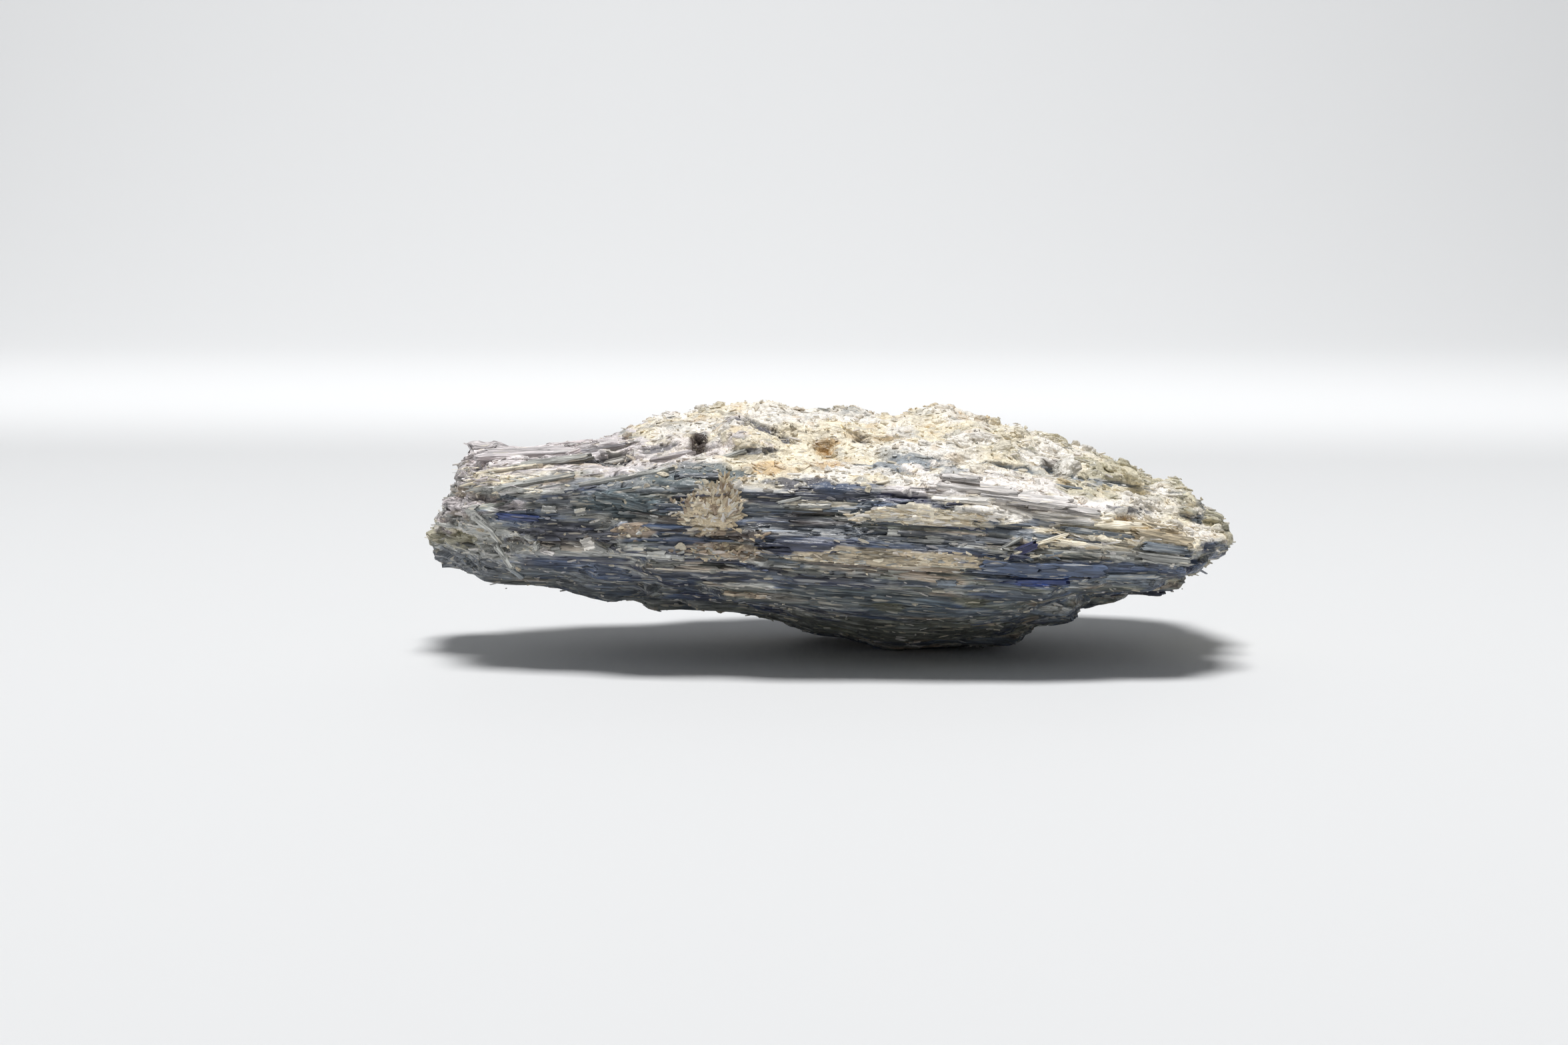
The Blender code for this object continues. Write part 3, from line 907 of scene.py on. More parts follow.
class Granules:
    """The sugary look of mica and quartz grains, shared by the stone and its crumbs.

    Sizes are given as the number of grains in a millimetre along, across and up the blades.
    """

    GRAINS = (1.9, 2.3, 2.3)
    DUST = (4.5, 5, 5)
    CLOUDS = (0.5, 0.7, 0.7)
    LUMPS = (0.6, 0.9, 0.9)
    DETAIL = 4

    @staticmethod
    def shade(tree: bpy.types.NodeTree) -> bpy.types.NodeSocket:
        """How bright the grains are: each one its own way, with painted shade dimming the gaps between them.

        Args:
            tree: The tree to add the nodes to.

        Returns:
            The brightness, near 1.
        """
        tone, distance = Finish.chips(tree, Granules.GRAINS)
        fine, _ = Finish.chips(tree, Granules.DUST)
        cloud = Finish.streaks(tree, Granules.CLOUDS, Granules.DETAIL)
        parts = [
            Finish.spread(tree, cloud, 0.35, 0.65, 0.9, 1.16),
            Finish.spread(tree, tone, 0, 1, 1.0, 1.1),
            # painted shade: dimmer toward the gaps between grains
            Finish.spread(tree, distance, 0.5, 0.85, 1.08, 0.92),
            Finish.spread(tree, fine, 0, 1, 0.96, 1.1),
        ]
        return Finish.product(tree, parts)

    @staticmethod
    def height(tree: bpy.types.NodeTree) -> bpy.types.NodeSocket:
        """How high the grains stand.

        Args:
            tree: The tree to add the nodes to.

        Returns:
            The height in millimetres.
        """
        tone, distance = Finish.chips(tree, Granules.GRAINS)
        fine, gap = Finish.chips(tree, Granules.DUST)
        broad = Finish.streaks(tree, Granules.LUMPS, Granules.DETAIL)
        return Finish.total(tree, [(broad, 0.7), (tone, 0.06), (distance, -0.12), (fine, 0.03), (gap, -0.05)])

    @staticmethod
    def roughness(tree: bpy.types.NodeTree) -> bpy.types.NodeSocket:
        """Smooth faces on some grains, which sparkle, and dull ones on the rest."""
        fine, _ = Finish.chips(tree, Granules.DUST)
        return Finish.spread(tree, fine, 0.05, 0.5, 0.22, 0.8)


@dataclass(frozen=True)
class StoneFinish:
    """Bladed kyanite, split into bright and dim chips along the grain, that turns granular in the crust.

    The sizes of streaks, hairs, cracks, blades, slivers and chips are how many lie in a millimetre along,
    across and up the grain.
    """

    name: str = "kyanite"
    streaks: tuple[float, float, float] = (0.12, 1.8, 3.0)
    hairs: tuple[float, float, float] = (0.3, 5, 9)
    cracks: tuple[float, float, float] = (0.06, 0.7, 1.0)
    crack_width: float = 0.01
    blades: tuple[float, float, float] = (0.17, 1.0, 1.7)
    slivers: tuple[float, float, float] = (0.4, 2.4, 4.2)
    chips: tuple[float, float, float] = (0.9, 5, 8)
    roughness: tuple[float, float] = (0.28, 0.6)
    contrast: tuple[float, float] = (0.62, 1.45)
    ior: float = 1.72
    coat: float = 0.15
    coat_roughness: float = 0.2

    def make(self) -> bpy.types.Material:
        """Build the material.

        Returns:
            The material.
        """
        material, tree, shader = Finish.new(self.name)
        pigment = Finish.attribute(tree, "pigment").outputs["Color"]
        granular = Finish.attribute(tree, "granular").outputs["Fac"]
        streak = Finish.streaks(tree, self.streaks, 3)
        hair = Finish.streaks(tree, self.hairs, 3)
        crack = Finish.crease(tree, Finish.streaks(tree, self.cracks, 2), self.crack_width)
        blade, _ = Finish.chips(tree, self.blades)
        sliver, _ = Finish.chips(tree, self.slivers)
        chip, _ = Finish.chips(tree, self.chips)
        parts = [
            Finish.spread(tree, streak, 0.3, 0.7, *self.contrast),
            Finish.spread(tree, hair, 0.3, 0.7, 0.75, 1.25),
            Finish.spread(tree, crack, 0, 1, 0.35, 1),
            Finish.spread(tree, blade, 0, 1, 0.72, 1.25),
            Finish.spread(tree, sliver, 0, 1, 0.62, 1.35),
            Finish.spread(tree, chip, 0, 1, 0.78, 1.22),
        ]
        shade = Finish.between(tree, granular, Finish.product(tree, parts), Granules.shade(tree))
        colour = Finish.times(tree, pigment, shade)
        pale = Finish.product(tree, [
            Finish.spread(tree, sliver, 0.86, 0.9, 0, 1),
            Finish.spread(tree, streak, 0.42, 0.56, 0, 0.6),
        ])
        colour = Finish.over(tree, pale, colour, Tint.PALE)
        colour = Finish.over(tree, Finish.spread(tree, chip, 0.95, 0.97, 0, 0.5), colour, Tint.CREAM)
        tree.links.new(colour, shader.inputs["Base Color"])
        smooth = Finish.spread(tree, sliver, 0, 1, *self.roughness)
        roughness = Finish.between(tree, granular, smooth, Granules.roughness(tree))
        tree.links.new(roughness, shader.inputs["Roughness"])
        shader.inputs["IOR"].default_value = self.ior
        shader.inputs["Coat Weight"].default_value = self.coat
        shader.inputs["Coat Roughness"].default_value = self.coat_roughness
        heights = [(streak, 0.3), (hair, 0.1), (crack, 0.1), (blade, 0.12), (sliver, 0.1), (chip, 0.03)]
        height = Finish.between(tree, granular, Finish.total(tree, heights), Granules.height(tree))
        Finish.bump(tree, shader, height)
        return material


@dataclass(frozen=True)
class CrustFinish:
    """Granular mica and quartz: cream, with painted shade in its hollows, with a broken sparkle."""

    name: str = "crust"
    ior: float = 1.55

    def make(self) -> bpy.types.Material:
        """Build the material.

        Returns:
            The material.
        """
        material, tree, shader = Finish.new(self.name)
        pigment = Finish.attribute(tree, "pigment").outputs["Color"]
        tree.links.new(Finish.times(tree, pigment, Granules.shade(tree)), shader.inputs["Base Color"])
        tree.links.new(Granules.roughness(tree), shader.inputs["Roughness"])
        shader.inputs["IOR"].default_value = self.ior
        Finish.bump(tree, shader, Granules.height(tree))
        return material


@dataclass(frozen=True)
class MicaFinish:
    """Thin silvery flakes, faintly clouded."""

    name: str = "mica"
    clouds: tuple[float, float, float] = (1.6, 1.6, 1.6)
    cloud_height: float = 0.06
    ior: float = 1.58

    def make(self) -> bpy.types.Material:
        """Build the material.

        Returns:
            The material.
        """
        material, tree, shader = Finish.new(self.name)
        pigment = Finish.attribute(tree, "pigment").outputs["Color"]
        cloud = Finish.streaks(tree, self.clouds, 3)
        colour = Finish.times(tree, pigment, Finish.spread(tree, cloud, 0.3, 0.7, 0.8, 1.15))
        tree.links.new(colour, shader.inputs["Base Color"])
        tree.links.new(Finish.spread(tree, cloud, 0.3, 0.7, 0.2, 0.45), shader.inputs["Roughness"])
        shader.inputs["IOR"].default_value = self.ior
        Finish.bump(tree, shader, Finish.total(tree, [(cloud, self.cloud_height)]))
        return material


def select_only(piece: bpy.types.Object) -> None:
    """Make one object the only selected one and the active one.

    Args:
        piece: The object.
    """
    bpy.ops.object.select_all(action="DESELECT")
    piece.select_set(True)
    bpy.context.view_layer.objects.active = piece


def file_piece(piece: bpy.types.Object) -> None:
    """Tell the frame what a finished piece rides on and stands for.

    Args:
        piece: The piece.
    """
    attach(piece, BODY)
    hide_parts(NODE)
    log.info("%s: %d triangles", piece.name, sum(len(p.vertices) - 2 for p in piece.data.polygons))


def write_attributes(
    mesh: bpy.types.Mesh, colours: np.ndarray, grains: np.ndarray, granular: np.ndarray | None = None
) -> None:
    """Store what the materials read.

    Args:
        mesh: The mesh.
        colours: A linear colour for each vertex.
        grains: Grain coordinates in millimetres for each vertex.
        granular: How crusty each vertex is, from 0 to 1, where the mesh is a mixture.
    """
    if granular is not None:
        cover = mesh.attributes.new("granular", "FLOAT", "POINT")
        cover.data.foreach_set("value", np.asarray(granular, np.float32))
    pigment = mesh.attributes.new("pigment", "FLOAT_COLOR", "POINT")
    rgba = np.ones((len(mesh.vertices), 4), np.float32)
    rgba[:, :3] = colours
    pigment.data.foreach_set("color", rgba.ravel())
    grain = mesh.attributes.new("grain", "FLOAT_VECTOR", "POINT")
    grain.data.foreach_set("vector", np.asarray(grains, np.float32).ravel())


def vertex_places(mesh: bpy.types.Mesh) -> np.ndarray:
    """Read the places of a mesh's vertices.

    Args:
        mesh: The mesh.

    Returns:
        The places, one row each.
    """
    places = np.empty(len(mesh.vertices) * 3, np.float32)
    mesh.vertices.foreach_get("co", places)
    return places.reshape(-1, 3).astype(np.float64)


def put_vertices(mesh: bpy.types.Mesh, places: np.ndarray) -> None:
    """Move a mesh's vertices to places, one row each."""
    mesh.vertices.foreach_set("co", np.asarray(places, np.float32).ravel())
    mesh.update()


class Hole(NamedTuple):
    """The round hole in the top: its middle and half sizes in x and y, and the height that it ends at."""

    x: float = -13.1
    y: float = -10.4
    half_width: float = 1.5
    half_depth: float = 2.6
    bottom: float = 15

    def clear(self, points: np.ndarray) -> np.ndarray:
        """Mark the places outside the hole.

        Args:
            points: Places in millimetres.

        Returns:
            1 outside the hole and 0 inside it, for each place.
        """
        across = (points[:, 0] - self.x) / self.half_width
        deep = (points[:, 1] - self.y) / self.half_depth
        return 1.0 - ((across**2 + deep**2 < 1) & (points[:, 2] > self.bottom))


HOLE = Hole()


class Swell(NamedTuple):
    """A soft push of the stone's skin: its middle, how far it reaches and its shift, in millimetres."""

    middle: tuple[float, float, float]
    reach: tuple[float, float, float]
    shift: tuple[float, float, float]

    def moved(self, points: np.ndarray) -> np.ndarray:
        """The places after the push."""
        distance = np.linalg.norm((points - self.middle) / self.reach, axis=-1)
        return points + np.clip(1 - distance**2, 0, 1)[..., None] ** 2 * np.array(self.shift)


SWELLS = (
    Swell((-14, -16, 17.4), (30, 7, 3.4), (0, -2.4, 0.3)),
    Swell((12, -20, 17.0), (16, 6, 2.8), (0, -1.4, 0.2)),
    Swell((-9.5, 0, 2.0), (15, 34, 8), (0, 0, 1.35)),
    Swell((1.0, 0, 0.0), (6, 30, 6), (0, 0, 0.8)),
    Swell((-22.5, 0, 5.0), (6, 30, 7), (0, 0, -1.1)),
    Swell((28.5, -1, 4.0), (6, 30, 6), (0, 0, 0.8)),
    Swell((21.5, -4, 3.4), (3.5, 24, 5), (0, 0, -0.5)),
    Swell((-19.6, 0, 7.0), (2.6, 30, 3), (0, 0, -0.45)),
    Swell((-29.0, -4, 21.0), (4.5, 16, 4), (0, 0, 0.5)),
    Swell((36.0, -16, 9.0), (4, 8, 5), (-0.4, 0, 0.8)),
    Swell((-39.5, -3, 17.4), (6, 14, 3.6), (1.8, 0, 0)),
    Swell((-39.6, -4, 12.1), (4, 6, 1.7), (-0.9, 0, 0)),
    Swell((-38.0, 0, 8.6), (6, 14, 4), (-2.2, 0, -0.6)),
    Swell((-36.8, 3, 19.6), (5, 11, 4), (-0.4, 0, 0.6)),
    Swell((-30.0, 3, 20.4), (6, 12, 4), (0, 0, -0.3)),
    Swell((-23.8, 5, 21.0), (4, 14, 5), (0, 0, -0.6)),
    Swell((-18.0, 2, 22.0), (4, 14, 5), (0, 0, 1.0)),
    Swell((-9.8, 5, 24.5), (5, 12, 5), (0, 0, -0.6)),
    Swell((5.3, 7, 23.3), (3, 12, 5), (0, 0, -0.6)),
    Swell((11.0, 7, 23.0), (4, 12, 5), (0, 0, 0.8)),
    Swell((19.0, 2, 22.4), (4, 14, 5), (0, 0, -0.7)),
    Swell((30.5, 4, 18.5), (5, 14, 5), (0, 0, -1.1)),
    Swell((36.8, 2, 15.0), (4, 10, 4), (0, 0, -0.7)),
    Swell((37.5, -8.5, 11.5), (3.2, 2.2, 9), (-1.6, 0.8, 0)),
    Swell((HOLE.x, HOLE.y, 20.7), (1.45, HOLE.half_depth, 2.6), (0.1, 1.2, -2.6)),
    Swell((-21.6, -10.6, 20.2), (2.8, 3.2, 2.0), (0, 0.8, -1.0)),
    Swell((-29.2, -9.6, 19.6), (1.2, 1.8, 2.0), (0, 0.5, -0.9)),
    Swell((-1.0, -10.6, 21.1), (1.3, 2.0, 2.0), (0, 0.8, -1.4)),
    Swell((2.8, -8.4, 21.8), (1.1, 2.0, 2.0), (0, 0.8, -1.6)),
    Swell((21.1, -10.6, 19.3), (1.4, 2.4, 2.0), (0, 0.8, -1.4)),
    Swell((-0.2, -7.4, 21.8), (2.2, 2.2, 2.2), (0, -0.4, 0.9)),
)


@dataclass
class StoneBody:
    """The rock itself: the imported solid's form with blade steps, lumps and hollows raised on it.

    The skin is a ball whose poles face the two ends, with its columns crowded toward the front. Each of its
    points is drawn along a ray from the rock's middle line to the solid, then raised or sunk by the relief.
    The front's angle and span are in radians round the middle line. What the smaller pieces need to know of
    the finished rock is kept in its last six fields.
    """

    rings: int = 236
    columns: int = 416
    left_rings: int = 46
    right_rings: int = 42
    left_middle: tuple[float, float, float] = (-25, 0, 14)
    right_middle: tuple[float, float, float] = (28, -2, 11.5)
    pole_rings: int = 18
    front_density: float = 2.6
    front_angle: float = -0.25
    front_span: tuple[float, float] = (1.6, 0.9)
    turn_samples: int = 721
    skin_rounds: int = 7
    facing_rounds: int = 10
    smooth_angle: float = 50
    reach: float = 60
    search_step: float = 0.25
    places: np.ndarray | None = None
    facing: np.ndarray | None = None
    surface: Surface | None = None
    areas: np.ndarray | None = None
    tree: BVHTree | None = None
    corners: list[int] = field(default_factory=list)

    def ball(self) -> bpy.types.Object:
        """Add the ball that the skin is made of, with its faces in an order that every run repeats.

        Returns:
            The ball.
        """
        bpy.ops.mesh.primitive_uv_sphere_add(segments=self.columns, ring_count=self.rings, radius=1)
        piece = bpy.context.object
        piece.name = "stone_body"
        skin = bmesh.new()
        skin.from_mesh(piece.data)
        count = len(skin.verts)
        skin.faces.sort(key=lambda face: face.verts[0].index * count + face.verts[1].index)
        skin.to_mesh(piece.data)
        skin.free()
        return piece

    def rays(self, ring: np.ndarray, column: np.ndarray) -> tuple[np.ndarray, np.ndarray]:
        """The ray for each ring and column of the skin.

        Args:
            ring: Ring numbers, from 0 at the right end's pole.
            column: Column numbers, from 0 at the back and then over the top.

        Returns:
            Starting points on the middle line in millimetres, and directions.
        """
        left_start = self.rings - self.left_rings
        share = np.clip((ring - self.right_rings) / (left_start - self.right_rings), 0, 1)
        left, right = np.array(self.left_middle), np.array(self.right_middle)
        start = right + (left - right) * share[:, None]
        lean = np.radians(90) * np.clip(1 - ring / self.right_rings, 0, 1)
        lean = lean - np.radians(90) * np.clip((ring - left_start) / self.left_rings, 0, 1)
        turns = np.linspace(-np.pi, np.pi, self.turn_samples)
        crowding = ramp(*self.front_span, np.abs(turns - self.front_angle))
        density = 1 + (self.front_density - 1) * crowding
        spread = np.concatenate([[0], np.cumsum((density[1:] + density[:-1]) / 2)])
        angle = np.interp(column / self.columns * spread[-1], spread, turns)
        radial = np.stack([np.zeros_like(angle), -np.cos(angle), -np.sin(angle)], axis=1)
        radial *= np.cos(lean)[:, None]
        radial[:, 0] = np.sin(lean)
        return start, radial

    def reached(self, starts: np.ndarray, directions: np.ndarray) -> np.ndarray:
        """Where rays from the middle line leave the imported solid.

        Args:
            starts: Places in millimetres.
            directions: Unit directions.

        Returns:
            The distances in millimetres.
        """
        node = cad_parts[NODE]
        corners = [node.matrix_world @ vertex.co / MM for vertex in node.data.vertices]
        solid = BVHTree.FromPolygons(corners, [tuple(face.vertices) for face in node.data.polygons])
        distances = np.empty(len(starts))
        for index, (start, direction) in enumerate(zip(starts, directions)):
            way = Vector(direction)
            hit = solid.ray_cast(Vector(start) + way * self.reach, -way, self.reach)
            distances[index] = self.reach - hit[3] if hit[0] else np.nan
        return distances

    def soften(self, grid: np.ndarray, rounds: int) -> np.ndarray:
        """Even out a grid of rings and columns.

        Args:
            grid: Values with the rings on the first axis and the columns on the second.
            rounds: How often each point is averaged with its neighbours.

        Returns:
            The evened grid, whose end rings are evened only along themselves.
        """
        grid = grid.copy()
        for _ in range(rounds):
            grid = (np.roll(grid, 1, axis=1) + 2 * grid + np.roll(grid, -1, axis=1)) / 4
            grid[1:-1] = (grid[:-2] + 2 * grid[1:-1] + grid[2:]) / 4
        return grid

    @staticmethod
    def normals(places: np.ndarray) -> np.ndarray:
        """Outward directions of a closed grid of places.

        Args:
            places: Places with the rings on the first axis and the columns on the second.

        Returns:
            Unit directions on the same grid.
        """
        around = np.roll(places, -1, axis=1) - np.roll(places, 1, axis=1)
        along = np.empty_like(places)
        along[1:-1] = places[:-2] - places[2:]
        along[0], along[-1] = along[1], along[-2]
        return unit(np.cross(around, along))

    def steadied(self, facing: np.ndarray) -> np.ndarray:
        """Turn the directions near the two poles toward the ends, where the crowded columns make them jump.

        Args:
            facing: Unit directions with the rings on the first axis and the columns on the second.

        Returns:
            The steadied directions.
        """
        ring = np.arange(self.rings + 1)[:, None, None]
        from_pole = np.minimum(ring, self.rings - ring)
        share = ramp(self.pole_rings, 2, from_pole)
        end = np.where(ring < self.rings / 2, 1.0, -1.0) * np.array((1.0, 0.0, 0.0))
        return unit(facing * (1 - share) + end * share)

    def build(self, material: bpy.types.Material) -> bpy.types.Object:
        """Make the rock with its fine relief.

        Args:
            material: Its material.

        Returns:
            The finished object.
        """
        piece = self.ball()
        ball = vertex_places(piece.data)
        ring = np.round(np.arccos(np.clip(ball[:, 2], -1, 1)) / np.pi * self.rings).astype(int)
        column = np.round(np.arctan2(ball[:, 1], ball[:, 0]) / (2 * np.pi) * self.columns).astype(int)
        column %= self.columns
        grid_ring, grid_column = np.divmod(np.arange((self.rings + 1) * self.columns), self.columns)
        starts, ways = self.rays(grid_ring, grid_column)
        distances = self.reached(starts, ways)
        distances = np.where(np.isnan(distances), np.nanmean(distances), distances)
        shape = (self.rings + 1, self.columns)
        distances = self.soften(distances.reshape(shape), self.skin_rounds).reshape(-1, 1)
        plain = starts + ways * distances
        for swell in SWELLS:
            plain = swell.moved(plain)
        plain = plain.reshape(*shape, 3)
        facing = self.steadied(self.normals(self.soften(plain, self.facing_rounds)))
        points, outward = plain[ring, column], facing[ring, column]
        levels = BUNDLE.levels(points)
        surface = PIGMENT.at(points, outward, levels)
        heights = RELIEF.heights(points, outward, levels, surface)
        raised = points + outward * heights[:, None]
        raised[:, 2] = np.maximum(raised[:, 2], 0)
        put_vertices(piece.data, raised * MM)
        granular = np.clip(surface.crust + surface.grit, 0, 1)
        write_attributes(piece.data, surface.colour, GRAIN.coordinates(points), granular)
        piece.data.materials.append(material)
        select_only(piece)
        bpy.ops.object.shade_smooth_by_angle(angle=math.radians(self.smooth_angle))
        self.keep(piece, raised, outward, surface)
        return piece

    def keep(
        self, piece: bpy.types.Object, places: np.ndarray, facing: np.ndarray, surface: Surface
    ) -> None:
        """Keep what the smaller pieces need to know about the finished rock.

        Args:
            piece: The rock.
            places: Its points in millimetres.
            facing: Their smoothed outward directions.
            surface: What the stone is made of there.
        """
        self.places, self.facing, self.surface = places, facing, surface
        self.areas = np.zeros(len(places))
        for face in piece.data.polygons:
            self.areas[face.vertices[0]] += face.area / MM**2
        self.corners = [face.vertices[0] for face in piece.data.polygons]
        self.tree = BVHTree.FromObject(piece, bpy.context.evaluated_depsgraph_get())

    def proudness(self, places: np.ndarray) -> np.ndarray:
        """How far places stick out of the rock.

        Args:
            places: Places in millimetres.

        Returns:
            Distances in millimetres, below 0 for places within the rock.
        """
        found = np.empty(len(places))
        for index, place in enumerate(places):
            point = Vector(place) * MM
            near, normal, _, distance = self.tree.find_nearest(point)
            found[index] = math.copysign(distance, (point - near).dot(normal)) / MM
        return found

    def front(self, x: float, z: float) -> tuple[np.ndarray, np.ndarray]:
        """The front of the rock at a place in x and z, or the nearest below it where that is over the top.

        Args:
            x: Millimetres to the right of the middle.
            z: Millimetres above the floor.

        Returns:
            The place in millimetres and the smoothed outward direction there.
        """
        face = None
        while face is None:
            place, _, face, _ = self.tree.ray_cast(Vector((x, -self.reach, z)) * MM, Vector((0, 1, 0)))
            z -= self.search_step
        return np.array(place) / MM, self.facing[self.corners[face]]


class Shape(NamedTuple):
    """A small shape to copy: its points, about one unit across, and its triangles."""

    points: np.ndarray
    faces: np.ndarray


def take_shape(piece: bpy.types.Object) -> Shape:
    """Read an object's mesh as a shape of triangles and remove the object.

    Args:
        piece: The object.

    Returns:
        The shape.
    """
    select_only(piece)
    bpy.ops.object.mode_set(mode="EDIT")
    bpy.ops.mesh.select_all(action="SELECT")
    bpy.ops.mesh.quads_convert_to_tris()
    bpy.ops.object.mode_set(mode="OBJECT")
    points = vertex_places(piece.data)
    faces = np.array([tuple(face.vertices) for face in piece.data.polygons])
    bpy.data.objects.remove(piece)
    return Shape(points, faces)


def placings(along: np.ndarray, outward: np.ndarray) -> np.ndarray:
    """Turns whose X runs along a direction and whose Z looks as nearly outward as that allows.

    Args:
        along: Directions of the copies' lengths.
        outward: Directions that their faces look in.

    Returns:
        A 3 x 3 turn for each copy.
    """
    along = unit(along)
    across = unit(np.cross(outward, along))
    return np.stack([along, across, np.cross(along, across)], axis=2)


@dataclass
class Copies:
    """Many copies of a few shapes, each with its own place, colour and grain, joined in one mesh.

    The grain shift puts the patterns of neighbouring copies far apart, and the floor gap keeps every point
    off the floor.
    """

    grain_shift: float = 7
    floor_gap: float = 0.02
    points: list[np.ndarray] = field(default_factory=list)
    faces: list[np.ndarray] = field(default_factory=list)
    colours: list[np.ndarray] = field(default_factory=list)
    grains: list[np.ndarray] = field(default_factory=list)
    count: int = 0

    def add(
        self, shape: Shape, places: np.ndarray, turns: np.ndarray, sizes: np.ndarray, colours: np.ndarray
    ) -> None:
        """Add copies of one shape.

        Args:
            shape: The shape to copy.
            places: Where the copies go, in millimetres.
            turns: How they are turned.
            sizes: Their lengths, widths and thicknesses in millimetres.
            colours: Their linear colours.
        """
        number, corners = len(places), len(shape.points)
        scaled = shape.points[None] * sizes[:, None]
        self.points.append((np.einsum("nij,nkj->nki", turns, scaled) + places[:, None]).reshape(-1, 3))
        starts = self.count + np.arange(number) * corners
        self.faces.append((starts[:, None, None] + shape.faces[None]).reshape(-1, 3))
        self.colours.append(np.repeat(colours, corners, axis=0))
        self.grains.append((scaled + places[:, None] * self.grain_shift).reshape(-1, 3))
        self.count += number * corners

    def join(self, name: str, material: bpy.types.Material) -> bpy.types.Object:
        """Make the copies one object.

        Args:
            name: The object's name.
            material: Its material.

        Returns:
            The object.
        """
        mesh = bpy.data.meshes.new(name)
        points = np.concatenate(self.points) * MM
        points[:, 2] = np.maximum(points[:, 2], self.floor_gap * MM)
        mesh.from_pydata(points.tolist(), [], np.concatenate(self.faces).tolist())
        write_attributes(mesh, np.concatenate(self.colours), np.concatenate(self.grains))
        mesh.materials.append(material)
        piece = bpy.data.objects.new(name, mesh)
        bpy.context.scene.collection.objects.link(piece)
        return piece


@dataclass
class BladeShapes:
    """The handful of blades that all the others are copied from, one unit long, wide and thick.

    Each is a plate cut crosswise into stations and lengthwise into lanes. Each lane has a ridge of its own
    height and splintery ends of its own length, and the rims and tips are sunk.
    """

    count: int = 10
    stations: int = 4
    lanes: int = 3
    seed: int = 5
    lane_wander: float = 0.08
    ridge: tuple[float, float] = (-0.1, 0.06)
    splinter: float = 0.2
    slant: float = 0.06
    taper: tuple[float, float] = (0.5, 0.9)
    jitter: tuple[float, float, float] = (0.05, 0.06, 0.04)
    rim_sink: float = 0.14
    tip_sink: float = 0.12
    edge: float = 0.49

    def build(self) -> list[Shape]:
        """Model the blades.

        Returns:
            One shape for each.
        """
        draw = random.Random(self.seed)
        return [self.blade(draw) for _ in range(self.count)]

    def blade(self, draw: random.Random) -> Shape:
        """Model one blade: a ridged plate with stepped, splintery ends.

        Args:
            draw: The source of chance.

        Returns:
            The shape.
        """
        bpy.ops.object.select_all(action="DESELECT")
        bpy.ops.mesh.primitive_cube_add(size=1)
        piece = bpy.context.object
        bpy.ops.object.mode_set(mode="EDIT")
        for station in range(1, self.stations):
            self.cut(station / self.stations - 0.5, (1, 0, 0))
        for lane in range(1, self.lanes):
            wander = draw.uniform(-self.lane_wander, self.lane_wander)
            self.cut(lane / self.lanes - 0.5 + wander, (0, 1, 0))
        bpy.ops.object.mode_set(mode="OBJECT")
        self.weather(piece, draw)
        return take_shape(piece)

    @staticmethod
    def cut(offset: float, axis: tuple[float, float, float]) -> None:
        """Cut an edge loop round the whole blade at this offset along this axis."""
        bpy.ops.mesh.select_all(action="SELECT")
        bpy.ops.mesh.bisect(plane_co=Vector(axis) * offset, plane_no=axis)

    def weather(self, piece: bpy.types.Object, draw: random.Random) -> None:
        """Slant and splinter a blade's ends, ridge its face and sink its rims and tips.

        Args:
            piece: The blade.
            draw: The source of chance.
        """
        lanes = {}
        along, across, up = self.jitter
        slants = (draw.uniform(-self.slant, self.slant), draw.uniform(-self.slant, self.slant))
        for vertex in piece.data.vertices:
            lane = round(vertex.co.y, 3)
            if lane not in lanes:
                lanes[lane] = (
                    draw.uniform(*self.ridge),
                    draw.uniform(0, self.splinter),
                    draw.uniform(0, self.splinter),
                )
            ridge, start, end = lanes[lane]
            tip = abs(vertex.co.x) > self.edge
            if tip:
                right = vertex.co.x > 0
                vertex.co.x += (-end if right else start) + slants[right] * vertex.co.y
                vertex.co.y *= draw.uniform(*self.taper)
            else:
                vertex.co.x += draw.uniform(-along, along)
                vertex.co.y += draw.uniform(-across, across)
            if vertex.co.z > 0:
                vertex.co.z += ridge + draw.uniform(-up, up)
                vertex.co.z -= (self.rim_sink if abs(lane) > self.edge else 0) + (self.tip_sink if tip else 0)


def crumb_shape(subdivisions: int, rough: float, draw: random.Random) -> Shape:
    """Model one crumb of crust.

    Args:
        subdivisions: How finely the ball is divided.
        rough: How far its points wander.
        draw: The source of chance.

    Returns:
        The shape.
    """
    bpy.ops.object.select_all(action="DESELECT")
    bpy.ops.mesh.primitive_ico_sphere_add(subdivisions=subdivisions, radius=0.5)
    piece = bpy.context.object
    places = vertex_places(piece.data)
    salt = draw.randrange(1000)
    dents = Noise.smooth(places * 2.6 + 5, salt) * rough * 1.4
    pimples = Noise.smooth(places * 6, salt + 1) * rough * 0.6
    put_vertices(piece.data, places * (1 + (dents + pimples))[:, None])
    return take_shape(piece)


def flake_shape(face: float = 0.86) -> Shape:
    """Model a six-sided flake with a sloping rim, one unit across and thick.

    Args:
        face: The size of its upper face as a share of the lower one.

    Returns:
        The shape.
    """
    bpy.ops.object.select_all(action="DESELECT")
    bpy.ops.mesh.primitive_cylinder_add(vertices=6, radius=0.5, depth=1)
    piece = bpy.context.object
    for vertex in piece.data.vertices:
        if vertex.co.z > 0:
            vertex.co.x *= face
            vertex.co.y *= face
    return take_shape(piece)


